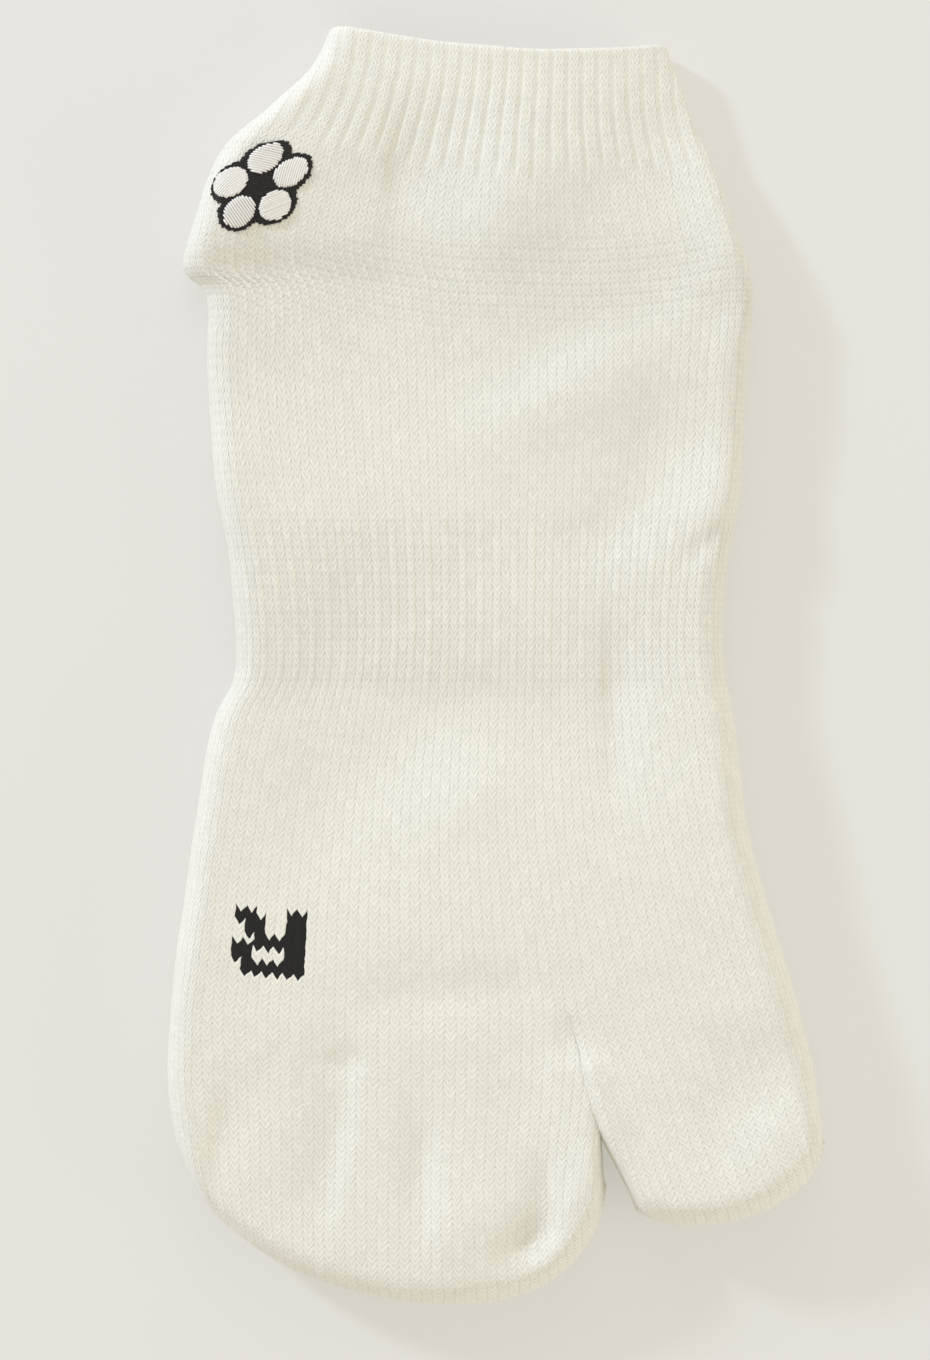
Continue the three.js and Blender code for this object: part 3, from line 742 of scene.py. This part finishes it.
outer_pockets = part_toes(top_numbers[-1], sole_numbers[-1], top_knit[-1], sole_knit[-1],
                          crotch(TOP), crotch(SOLE, under=True), pocket_down, FINE_TO_COARSE)
print("points with both toe pockets:", skin.count)

# %% [markdown]
# ## Inner face
# The inside of the sock is seen only through the cuff, so its mesh is as coarse as the sole's. It lies one
# thickness of cloth inside the outer face, and it closes a little before the toe seams do.

# %% Line the sock
INNER_STEP = 4.0      # distance between rows of the inner face
INNER_CROTCH = 2.6    # how far before the outer split the inner face parts
INNER_CLOSE = 0.9     # share of a pocket at which its inner face closes
INNER_START = -3.0    # course at which the inner face starts, past the rim
root_length = section_table[LAST - 1, 1] - section_table[LAST, 1]
inner_last = LAST - INNER_CROTCH / root_length
inner_count = round(np.linalg.norm(np.diff(section_table[:, 0:2], axis=0), axis=1).sum() / INNER_STEP)
inner_places = np.linspace(RIM_PLACE + 0.35, inner_last, inner_count)
inner_top, _ = body_rows(SOLE, inner_places, inset=WALL)
inner_sole, _ = body_rows(SOLE, inner_places, inset=WALL, under=True)
inner_height = even(column_of["course"], inner_places)
inner_top_numbers, inner_sole_numbers = skin.add_tube(inner_top, inner_sole)
inner_top_knit = pair(top_wale[:1, ::FINE_TO_COARSE], INNER_START - count_courses(inner_top, inner_height))
inner_sole_knit = pair(sole_wale[:1], INNER_START - count_courses(inner_sole, inner_height))
skin.patch(inner_top_numbers, inner_top_knit, up=False)
skin.patch(inner_sole_numbers, inner_sole_knit)
skin.strip(inner_top_numbers[0], inner_top_knit[0], top_numbers[0], top_knit[0])
skin.patch(np.vstack([sole_numbers[0], inner_sole_numbers[0]]), np.stack([sole_knit[0], inner_sole_knit[0]]))
inner_down = np.linspace(0.05, INNER_CLOSE, 12)
part_toes(inner_top_numbers[-1], inner_sole_numbers[-1], inner_top_knit[-1], inner_sole_knit[-1],
          crotch(SOLE, inset=WALL) + [0, INNER_CROTCH, 0],
          crotch(SOLE, inset=WALL, under=True) + [0, INNER_CROTCH, 0],
          inner_down, 1, inset=WALL, close_at=INNER_CLOSE)
print("points with the inner face:", skin.count)

# %% [markdown]
# ## Raising the ribs and wales
# The ribs and wales are pushed out along the direction in which the cloth faces, so they stand up round the
# sides as they do on top. The sole's are only pushed in, since it lies on the table. A low ridge runs along
# the toe seams, and a few wide, low waves from a fixed seed keep the large plain areas from looking ironed.

# %% Push the relief out
ORIGIN = np.array([-0.045, 0.043, 0.0])     # from the knitter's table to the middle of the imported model
WAVES, WAVE_HEIGHT = 26, 0.035
SEAM_REACH = 40.0     # length that a pocket is taken to have, to tell how far a row is from the seam
SEAM_RIDGE, SEAM_RIDGE_WIDTH = 0.3, 0.9
wave_length = chance.uniform(14, 46, WAVES)
wave_turn = chance.uniform(0, math.pi, WAVES)
wave_start = chance.uniform(0, 2 * math.pi, WAVES)


def unevenness(x, y):
    height = np.zeros(x.shape)
    for length, turn, start in zip(wave_length, wave_turn, wave_start):
        ahead = x * math.cos(turn) + y * math.sin(turn)
        height += WAVE_HEIGHT * np.sin(2 * math.pi * ahead / length + start)
    return height


def facing(points, faces):
    """The direction in which the cloth faces at each point."""
    total = np.zeros_like(points)
    for group in faces:
        half = group.shape[1] // 2
        across = points[group[:, half]] - points[group[:, 0]]
        down = points[group[:, half + 1 if half > 1 else 2]] - points[group[:, 1]]
        normal = np.cross(across, down)
        for corner in range(group.shape[1]):
            for axis in range(3):
                total[:, axis] += np.bincount(group[:, corner], normal[:, axis], len(points))
    return total / np.maximum(np.linalg.norm(total, axis=1, keepdims=True), 1e-9)


points = np.concatenate(skin.points)
normals = facing(points, skin.faces)
relief = np.zeros(len(points))
foot_places = np.concatenate([np.full(RIM_STEPS, RIM_PLACE), outer_places])


def raise_relief(numbers, knit, places, inward=False):
    x, y = points[numbers][..., 0], points[numbers][..., 1]
    height = knit_relief(knit[..., 0], knit[..., 1], x, y, np.asarray(places)[:, None])
    if inward:
        height = np.minimum(height - 0.25 * WALE_HEIGHT, 0)
        relief[numbers[:, 1:-1]] = height[:, 1:-1]
    else:
        relief[numbers] = height + unevenness(x, y)


raise_relief(sole_numbers, sole_knit, foot_places, inward=True)
raise_relief(top_numbers, top_knit, foot_places)
for top_grid, top_address, sole_grid, sole_address in outer_pockets:
    places = np.full(len(top_grid), float(LAST))
    raise_relief(sole_grid, sole_address[:-1], places[:-1], inward=True)
    raise_relief(top_grid, top_address, places)
    from_seam = (1 - np.insert(pocket_down, 0, 0)) * SEAM_REACH
    ridge = SEAM_RIDGE * np.exp(-((from_seam / SEAM_RIDGE_WIDTH) ** 2))[:, None]
    relief[top_grid] += ridge
    relief[sole_grid[:, 1:-1]] += ridge[:-1]
points = points + normals * relief[:, None]
points[:, 2] = np.maximum(points[:, 2], 0)
print("highest point, in mm:", round(float(points[:, 2].max()), 2))

# %% [markdown]
# ## Zones of the knit
# The cuff, the band, the crowded courses above the instep and the ankle, whose colour gets painted shade,
# differ, so the finish has to know where each is. Each point carries four shares for that, kept as a colour.

# %% Make the sock's mesh
def placed(name, data):
    """A new object in the scene."""
    made = bpy.data.objects.new(name, data)
    bpy.context.collection.objects.link(made)
    return made


def knit_mesh(name):
    faces = [group.reshape(-1) for group in skin.faces]
    corners = np.concatenate([np.full(len(group), group.shape[1]) for group in skin.faces])
    mesh = bpy.data.meshes.new(name)
    mesh.vertices.add(len(points))
    mesh.vertices.foreach_set("co", ((points + ORIGIN) * MM).ravel())
    mesh.loops.add(int(corners.sum()))
    mesh.loops.foreach_set("vertex_index", np.concatenate(faces))
    mesh.polygons.add(len(corners))
    mesh.polygons.foreach_set("loop_start", np.insert(np.cumsum(corners), 0, 0)[:-1])
    address = mesh.uv_layers.new(name="knit")
    address.uv.foreach_set("vector", np.concatenate([group.reshape(-1) for group in skin.knit]))
    mesh.update(calc_edges=True)
    mesh.shade_smooth()
    return mesh


zone = np.zeros((len(points), 4))
for numbers, knit in ((top_numbers, top_knit), (sole_numbers, sole_knit[:len(sole_numbers)])):
    x, y = points[numbers][..., 0], points[numbers][..., 1]
    zone[numbers, 0] = cuff_weight(knit[..., 0], knit[..., 1])
    zone[numbers, 1] = band_weight(x, y)
    zone[numbers, 2] = between(y, *COMPACT_ZONE)
    # The fourth share marks the ankle, where the knit's colour gets painted shade.
    zone[numbers, 3] = between(y, *ANKLE_SHADE_ZONE)
inner_cuff = smooth((inner_places - 0.2) / 0.1) * smooth((2.4 - inner_places) / 0.4)
zone[inner_top_numbers, 0] = inner_cuff[:, None]

sock_mesh = knit_mesh("sock_knit")
zone_layer = sock_mesh.color_attributes.new("zone", "FLOAT_COLOR", "POINT")
zone_layer.data.foreach_set("color", zone.ravel())
sock = placed("sock_knit", sock_mesh)
print("triangles of the sock:", sum((len(poly.vertices) - 2) for poly in sock_mesh.polygons))

# %% [markdown]
# ## Embroidery
# The blossom on the outer ankle is satin stitch: threads laid side by side, each from one edge of its shape
# to the other, where it goes down through the cloth. The black ground is sewn first and the five white
# petals over it. Each thread is its own thin tube with uneven ends, because a row of real threads catches
# the light in a way that a striped plate doesn't.

# %% The blossom's outlines
BLOSSOM_GIRTH, BLOSSOM_Y, BLOSSOM_TILT = 12.4, 78.6, 12
BLOSSOM_PLACES = (2.0, 5.0)     # sections between which it lies
HALVINGS = 24                   # steps by which its place is closed in on
LOBE_OUT, LOBE_RADIUS = 4.3, 3.4
PETALS, PETAL_OUT, PETAL_ALONG, PETAL_ACROSS = 5, 4.65, 2.45, 2.3
LOBE_TURN = 2 * math.pi / PETALS
FIRST_PETAL = math.radians(90 + BLOSSOM_TILT)


def in_ground(across, along):
    """How far inside the five-lobed outline a spot is: above 0 inside."""
    turn = np.arctan2(along, across) - FIRST_PETAL
    off = (turn + LOBE_TURN / 2) % LOBE_TURN - LOBE_TURN / 2
    side = LOBE_OUT * np.sin(off)
    edge = LOBE_OUT * np.cos(off) + np.sqrt(LOBE_RADIUS ** 2 - side ** 2)
    return edge - np.hypot(across, along)


def in_petal(across, along, direction):
    x, y = across - PETAL_OUT * math.cos(direction), along - PETAL_OUT * math.sin(direction)
    out = (x * math.cos(direction) + y * math.sin(direction)) / PETAL_ALONG
    side = (y * math.cos(direction) - x * math.sin(direction)) / PETAL_ACROSS
    return (1 - np.hypot(out, side)) * PETAL_ACROSS


def ankle_point(place, girth):
    left, right, thick, _ = section_at(place)
    turn = np.minimum(girth / SHOULDER, math.pi / 2)
    flat = np.maximum(0, girth - SHOULDER * math.pi / 2)
    share = (SHOULDER * (1 - np.cos(turn)) + flat) / np.linalg.norm(right - left, axis=1)
    spot = plan_points(place, share[:, None])[:, 0]
    height = upper_height(spot[:, 0], spot[:, 1], share, thick, thick * FOLD_LIFT, np.sin(turn))
    return np.column_stack([spot, height])


def on_ankle(across, along, out):
    """Points on the ankle, from a spot of the blossom and its height over the knit."""
    girth = BLOSSOM_GIRTH + across
    above, below = (np.full(len(girth), place) for place in BLOSSOM_PLACES)
    for _ in range(HALVINGS):
        middle = (above + below) / 2
        higher = ankle_point(middle, girth)[:, 1] > BLOSSOM_Y + along
        above, below = np.where(higher, middle, above), np.where(higher, below, middle)
    spot = ankle_point(above, girth)
    sideways = ankle_point(above, girth + 0.3) - ankle_point(above, girth - 0.3)
    upwards = ankle_point(above - 0.03, girth) - ankle_point(above + 0.03, girth)
    normal = np.cross(sideways, upwards)
    return spot + normal / np.linalg.norm(normal, axis=1, keepdims=True) * np.asarray(out)[:, None]


# %% Lay the threads
THREAD = 0.36         # distance between threads
THREAD_RADIUS = 0.2
SIDES = 6
THREAD_REACH = 8.5    # how far from the blossom's middle a thread can start
SHORTEST_THREAD = 0.7


def thread_paths(inside, angle, uneven, base, dip):
    """One path for each thread that crosses a shape, from where it comes up to where it goes down."""
    paths = []
    forward = np.array([math.cos(angle), math.sin(angle)])
    sideways = np.array([-math.sin(angle), math.cos(angle)])
    steps = np.arange(-THREAD_REACH, THREAD_REACH, 0.05)
    for offset in np.arange(-THREAD_REACH, THREAD_REACH, THREAD):
        line = forward * steps[:, None] + sideways * offset
        inner = np.concatenate([[False], inside(line[:, 0], line[:, 1]) > 0, [False]])
        edges = np.flatnonzero(np.diff(inner.astype(int)))
        for start, end in zip(edges[::2], edges[1::2]):
            first = steps[start] - chance.uniform(0, uneven)
            last = steps[min(end, len(steps) - 1)] + chance.uniform(0, uneven)
            if last - first < SHORTEST_THREAD:
                continue
            count = max(5, int((last - first) / 0.45) + 2)
            t = (1 - np.cos(np.linspace(0, math.pi, count))) / 2
            spots = forward * mix(first, last, t)[:, None] + sideways * offset
            from_end = np.minimum(t, 1 - t) * (last - first)
            out = base - dip * (1 - round_over(from_end, 0.45)) + chance.uniform(-0.03, 0.03)
            paths.append(on_ankle(spots[:, 0], spots[:, 1], out))
    return paths


def thread_mesh(name, paths):
    """Closed tubes along the paths, as one mesh."""
    points, faces = [], []
    ring = np.linspace(0, 2 * math.pi, SIDES, endpoint=False)[None, :, None]
    for path in paths:
        ahead = np.gradient(path, axis=0)
        ahead /= np.linalg.norm(ahead, axis=1, keepdims=True)
        aside = np.cross(ahead, [0.1, 0.1, 1.0])
        aside /= np.linalg.norm(aside, axis=1, keepdims=True)
        up = np.cross(aside, ahead)
        circle = aside[:, None, :] * np.cos(ring) + up[:, None, :] * np.sin(ring)
        first = sum(len(part) for part in points)
        points.append((path[:, None, :] + THREAD_RADIUS * circle).reshape(-1, 3))
        for row in range(len(path) - 1):
            for side in range(SIDES):
                a, b = first + row * SIDES + side, first + row * SIDES + (side + 1) % SIDES
                faces.append((b, a, a + SIDES, b + SIDES))
        faces.append(tuple(first + side for side in range(SIDES)))
        last = first + (len(path) - 1) * SIDES
        faces.append(tuple(last + side for side in reversed(range(SIDES))))
    mesh = bpy.data.meshes.new(name)
    mesh.from_pydata(((np.concatenate(points) + ORIGIN) * MM).tolist(), [], faces)
    mesh.shade_smooth()
    return placed(name, mesh)


GROUND_ANGLE = math.radians(14)
ground = thread_mesh("blossom_ground_threads",
                     thread_paths(in_ground, GROUND_ANGLE, uneven=0.35, base=0.2, dip=0.45))
petals = []
for index in range(PETALS):
    direction = FIRST_PETAL + index * LOBE_TURN
    petals.append(thread_mesh(
        f"blossom_petal_threads_{index + 1}",
        thread_paths(lambda x, y: in_petal(x, y, direction), direction + math.radians(68), uneven=0.2,
                     base=0.52, dip=0.3)))
print("threads: triangles", sum(2 * len(made.data.polygons) for made in [ground, *petals]))

# %% [markdown]
# ## Sums on a surface
# The finishes are worked out by shader nodes, a few sums for each spot of cloth. A small class wraps one
# output of a node, so that the sums read like ordinary ones: `1 - mask` makes the nodes for it.

# %% Values on a surface
class Value:
    def __init__(self, tree, socket=None):
        self.tree, self.socket = tree, socket

    def node(self, kind, settings=None, inputs=None, output=0):
        """Adds any node: settings first, then a constant or another value for each input."""
        made = self.tree.nodes.new(kind)
        for name, setting in (settings or {}).items():
            setattr(made, name, setting)
        for name, value in (inputs or {}).items():
            if isinstance(value, Value):
                self.tree.links.new(value.socket, made.inputs[name])
            else:
                made.inputs[name].default_value = value
        return Value(self.tree, made.outputs[output])

    def sum(self, operation, *values):
        return self.node("ShaderNodeMath", {"operation": operation}, dict(enumerate(values)))

    def plain(operation):
        """A method for a sum that starts with this value."""
        return lambda self, *others: self.sum(operation, self, *others)

    __add__ = __radd__ = plain("ADD")
    __mul__ = __rmul__ = plain("MULTIPLY")
    __sub__ = plain("SUBTRACT")
    __truediv__ = plain("DIVIDE")
    __pow__ = plain("POWER")
    whole = plain("FLOOR")
    part = plain("FRACT")
    size = plain("ABSOLUTE")
    highest = plain("MAXIMUM")

    def __rsub__(self, other):
        return self.sum("SUBTRACT", other, self)

    def within(self, low, high):
        """1 where a whole number is from low to high, and 0 elsewhere."""
        return self.sum("GREATER_THAN", self, low - 0.5) * self.sum("LESS_THAN", self, high + 0.5)

    def step(self, low, high):
        """0 below low, 1 above high and a soft step between."""
        return self.node("ShaderNodeMapRange", {"interpolation_type": "SMOOTHSTEP"},
                         {"Value": self, "From Min": low, "From Max": high})

    def blend(self, low, high):
        """The colour low where this is 0 and high where it is 1."""
        return self.node("ShaderNodeMix", {"data_type": "RGBA"}, {0: self, 6: low, 7: high}, output=2)

    def noise(self, scale, detail):
        """Soft noise from 0 to 1, where this value is the place on the object."""
        return self.node("ShaderNodeTexNoise", None, {"Vector": self, "Scale": scale, "Detail": detail})

    def tint(self, colour):
        """A colour made lighter or darker by this number."""
        return self.node("ShaderNodeVectorMath", {"operation": "SCALE"}, {0: colour[:3], "Scale": self})


def new_material(name):
    """A material with one main shader, the first value to build on, and the shader's inputs."""
    material = bpy.data.materials.new(name)
    material.use_nodes = True
    tree = material.node_tree
    shader = tree.nodes["Principled BSDF"]
    return material, Value(tree), shader


def plug(value, shader, name):
    value.tree.links.new(value.socket, shader.inputs[name])


def set_inputs(shader, **values):
    """Constants for a shader's inputs: an underscore stands for a space in a name."""
    for name, value in values.items():
        shader.inputs[name.replace("_", " ")].default_value = value


def linear(red, green, blue):
    """A colour as the eye sees it, 0 to 255, turned into amounts of light."""
    parts = [part / 255 for part in (red, green, blue)]
    return (*(part / 12.92 if part < 0.04045 else ((part + 0.055) / 1.055) ** 2.4 for part in parts), 1.0)


# %% [markdown]
# ## Ivory knit
# Each stitch of a plain knit shows as a V: two short slanting legs that meet at the bottom, with the next V
# tucked inside it. From the address of a spot, the part of its wale tells how far it is from the V's
# middle, and the part of its course, pulled down towards the middle, tells how far along the leg it is.
# Real yarn is fuzzy and uneven, so every stitch is a shade lighter or darker than the next and fine fibres
# lie over them.

# %% The stitches
IVORY = linear(243, 241, 230)
BLACK_YARN = linear(13, 11, 9)
STITCH_DEPTH = 0.16   # how far a stitch stands up, in mm
V_DROP = 2.2          # courses by which a leg slants down to the middle of its wale
WALE_WANDER, COURSE_WANDER = 0.4, 0.3     # how far stitches stray from their wale and course
# Painted shade over the ankle, then how much stitches, fibres and broad patches vary in tone at random.
ANKLE_PAINTED_SHADE, STITCH_SHADE, FIBRE_SHADE, PATCH_SHADE = 0.04, 0.05, 0.1, 0.03

LETTER_MIDDLE = (-37.65, -47.0)     # middle of the letter, on the knitter's table
letter_at = np.argmin(np.hypot(*(top_points[..., :2] - LETTER_MIDDLE).T).T)
LETTER_WALE = int(np.floor(top_wale.flat[letter_at])) - 3
LETTER_COURSE = round(float(top_course.flat[letter_at])) - 6
print("the letter starts at wale", LETTER_WALE, "and course", LETTER_COURSE)

knit, start, knit_shader = new_material("ivory_knit")
address = start.node("ShaderNodeUVMap", {"uv_map": "knit"})
wale, course = (start.node("ShaderNodeSeparateXYZ", None, {0: address}, output=axis) for axis in "XY")
zones = start.node("ShaderNodeAttribute", {"attribute_name": "zone"}, output="Color")
cuff_zone, band_zone, compact_zone = (
    start.node("ShaderNodeSeparateColor", None, {0: zones}, output=part) for part in ("Red", "Green", "Blue"))
# The ankle's share, over which painted shade goes.
ankle_shade_zone = start.node("ShaderNodeAttribute", {"attribute_name": "zone"}, output="Alpha")
place = start.node("ShaderNodeTexCoord", output="Object")

wander = place.noise(650.0, 1.0)
wale = wale + (wander - 0.5) * WALE_WANDER
course = course + (wander - 0.5) * COURSE_WANDER

from_middle = (wale.part() - 0.5).size()
down_leg = course + from_middle * V_DROP
across_leg = ((from_middle - 0.25) * 4).size() ** 2
along_leg = (down_leg.part() * 2 - 1).size() ** 3
stitch = 1 - across_leg * (from_middle * 0.4 + 0.2) - along_leg * 0.5
between_wales = from_middle.step(0.36, 0.5)
height = stitch - between_wales * 0.1

# %% [markdown]
# ## The letter
# The black letter on the outer toes is knitted in, not printed: each of its stitches is a black V. So it is
# charted as a knitter would, in blocks of whole wales and courses.

# %% Chart of the letter
LETTER_STROKES = {
    "stem": (5, 6, 0, 9),
    "top of the bowl": (1, 6, 8, 9),
    "side of the bowl": (0, 1, 5, 7),
    "bottom of the bowl": (2, 6, 4, 5),
    "leg, inner": (2, 2, 1, 4),
    "leg, middle": (1, 1, 0, 3),
    "leg, outer": (0, 0, 0, 1),
}
letter_wale = wale.whole() - LETTER_WALE
letter_course = down_leg.whole() - LETTER_COURSE
letter = None
for first_wale, last_wale, first_course, last_course in LETTER_STROKES.values():
    stroke = letter_wale.within(first_wale, last_wale) * letter_course.within(first_course, last_course)
    letter = stroke if letter is None else letter.highest(stroke)

# %% Colour and relief of the knit
stitch_seed = start.node("ShaderNodeCombineXYZ", None, {"X": wale.whole(), "Y": down_leg.whole()})
each_stitch = start.node("ShaderNodeTexWhiteNoise", {"noise_dimensions": "2D"}, {"Vector": stitch_seed})
fibres = place.noise(2600.0, 3.0)
patches = place.noise(45.0, 2.0)
rib_turn = ((wale - 1.5) / 2 + 0.5).part() - 0.5
in_groove = 1 - rib_turn.size().step(0.10, 0.27)
band_turn = ((wale - 0.5) / 2 + 0.5).part() - 0.5
tuck_row = 1 - ((course / 2).part() - 0.5).size().step(0.08, 0.26)
off_rib = band_turn.size().step(0.06, 0.24)
# Painted shade: the colour darkens where shade falls. That is in the hollows of each stitch, between wales,
# in the cuff's grooves, between the band's ribs, along the crowded courses and over their whole zone.
painted_knit_shade = (1 - stitch) * (band_zone * 0.03 + 0.055) + between_wales * 0.01
painted_knit_shade = painted_knit_shade + cuff_zone * in_groove * 0.03 + band_zone * off_rib * 0.03
painted_knit_shade = painted_knit_shade + tuck_row * (band_zone * 0.008 + compact_zone * 0.012) + compact_zone * 0.012
# Painted shade darkens the ankle as a whole. Stitches, fibres and patches vary the tone at random.
shade = 1 - painted_knit_shade - ankle_shade_zone * ANKLE_PAINTED_SHADE + (each_stitch - 0.5) * STITCH_SHADE
shade = shade + (fibres - 0.5) * FIBRE_SHADE + (patches - 0.5) * PATCH_SHADE
ivory = shade.tint(IVORY)
# Painted shade and highlight: the black yarn darkens in the hollows of each stitch and lightens on its crest.
# The fibres vary its tone at random.
black = (0.7 + stitch * 0.6 + (fibres - 0.5) * 0.8).tint(BLACK_YARN)
plug(letter.blend(ivory, black), knit_shader, "Base Color")
height = height * (1 - cuff_zone * in_groove * 0.5) + (fibres - 0.5) * 0.35 + (each_stitch - 0.5) * 0.12
height = height - tuck_row * (band_zone * 0.14 + compact_zone * 0.24)
bump = start.node("ShaderNodeBump", None, {"Strength": 1.0, "Distance": STITCH_DEPTH * MM, "Height": height})
plug(bump, knit_shader, "Normal")
plug(0.88 + (fibres - 0.5) * 0.1, knit_shader, "Roughness")
set_inputs(knit_shader, Specular_IOR_Level=0.25, Sheen_Weight=0.25, Sheen_Roughness=0.6)
sock.data.materials.append(knit)
print("nodes of the knit:", len(knit.node_tree.nodes))

# %% [markdown]
# ## Thread
# Embroidery thread is smoother than knitting yarn and shines a little. Its plies are far finer than the
# knit, so a fine grain along with a touch of sheen is enough for them.

# %% Black and white thread
def thread_material(name, colour, roughness, grain):
    material, start, shader = new_material(name)
    place = start.node("ShaderNodeTexCoord", output="Object")
    plies = place.noise(3500.0, 2.0)
    plug((1 + (plies - 0.5) * grain).tint(colour), shader, "Base Color")
    plug(roughness + (plies - 0.5) * 0.2, shader, "Roughness")
    bump = start.node("ShaderNodeBump", None, {"Strength": 0.6, "Distance": 0.05 * MM, "Height": plies})
    plug(bump, shader, "Normal")
    set_inputs(shader, Specular_IOR_Level=0.4)
    return material


ground.data.materials.append(thread_material("black_thread", linear(34, 31, 29), 0.5, 0.5))
white_thread = thread_material("white_thread", linear(243, 241, 236), 0.5, 0.08)
for made in petals:
    made.data.materials.append(white_thread)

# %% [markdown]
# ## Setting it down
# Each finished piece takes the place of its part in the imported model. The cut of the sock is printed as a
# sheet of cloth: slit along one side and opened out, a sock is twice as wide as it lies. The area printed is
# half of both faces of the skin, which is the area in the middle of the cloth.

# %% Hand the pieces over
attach(sock, "root")
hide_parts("sock")
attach(ground, "root")
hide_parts("blossom_ground")
for index, made in enumerate(petals):
    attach(made, "root")
    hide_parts(f"blossom_petal_{index + 1}")

around = along(top_points, 1)[:, -1] + along(sole_points, 1)[:, -1]
POCKET_ALLOWED = 52     # length allowed for the four-toe pocket, not measured on the mesh
lengthwise = along(top_points, 0)[-1, TOP.split] + POCKET_ALLOWED
print("cut of the sock, in mm: widest", round(float(around.max())), "narrowest", round(float(around.min())),
      "length", round(float(lengthwise)))
both_faces = sum(face.area for face in sock_mesh.polygons)
print("cloth of the sock, in square metres:", round(both_faces / 2, 4))

# %% [markdown]
# ## Table, light and camera
# The sock lies on a pale translucent table that is lit from below as well, as tables for small goods often
# are, so its shadow is faint. It is seen from straight above. One lamp low on the left draws the ribs and
# creases. Three panels, beyond the cuff, on the right and before the toes, lift what the lamp misses, and a
# bright room does the rest.

# %% Table
TABLE_COLOUR = linear(233, 231, 226)
TABLE_OWN_LIGHT = 0.42
bpy.ops.mesh.primitive_plane_add(size=3.0, location=(0, 0, -0.0002))
table = bpy.context.object
table.name = "table"
table_finish, start, table_shader = new_material("table")
place = start.node("ShaderNodeTexCoord", output="Object")
grain = place.noise(30.0, 3.0)
even_grain = 1 + (grain - 0.5) * 0.01
plug((even_grain * (1 - TABLE_OWN_LIGHT)).tint(TABLE_COLOUR), table_shader, "Base Color")
plug(even_grain.tint(TABLE_COLOUR), table_shader, "Emission Color")
set_inputs(table_shader, Emission_Strength=TABLE_OWN_LIGHT, Roughness=0.9, Specular_IOR_Level=0.1)
table.data.materials.append(table_finish)

# %% Light and camera
LAMP_AWAY = 1.6


def add_lamp(name, power, colour, size, azimuth, elevation):
    """A round lamp aimed at the sock. Azimuth is from the right, anticlockwise seen from above."""
    data = bpy.data.lights.new(name, "AREA")
    data.energy, data.color, data.size, data.shape = power, colour, size, "DISK"
    lamp = placed(name, data)
    turn, up = math.radians(azimuth), math.radians(elevation)
    flat = LAMP_AWAY * math.cos(up)
    lamp.location = (flat * math.cos(turn), flat * math.sin(turn), LAMP_AWAY * math.sin(up))
    lamp.rotation_euler = (math.pi / 2 - up, 0, turn + math.pi / 2)


add_lamp("lamp", power=13.0, colour=(0.68, 0.77, 1.0), size=0.2, azimuth=143, elevation=24)
add_lamp("far panel", power=5.0, colour=(0.86, 0.93, 1.0), size=1.4, azimuth=92, elevation=30)
add_lamp("panel", power=5.6, colour=(1.0, 0.98, 0.95), size=1.2, azimuth=-18, elevation=12)
add_lamp("near panel", power=1.2, colour=(0.9, 0.95, 1.0), size=0.3, azimuth=-95, elevation=7)
world = bpy.data.worlds.new("room")
world.use_nodes = True
set_inputs(world.node_tree.nodes["Background"], Color=linear(255, 249, 235), Strength=0.695)
bpy.context.scene.world = world
bpy.context.scene.view_settings.view_transform = "Standard"

camera_data = bpy.data.cameras.new("camera")
camera_data.lens, camera_data.sensor_width = 85.0, 36.0
camera_data.clip_start = 0.01
camera = placed("camera", camera_data)
camera.location = (-0.0051, -0.0025, 0.540)
bpy.context.scene.camera = camera
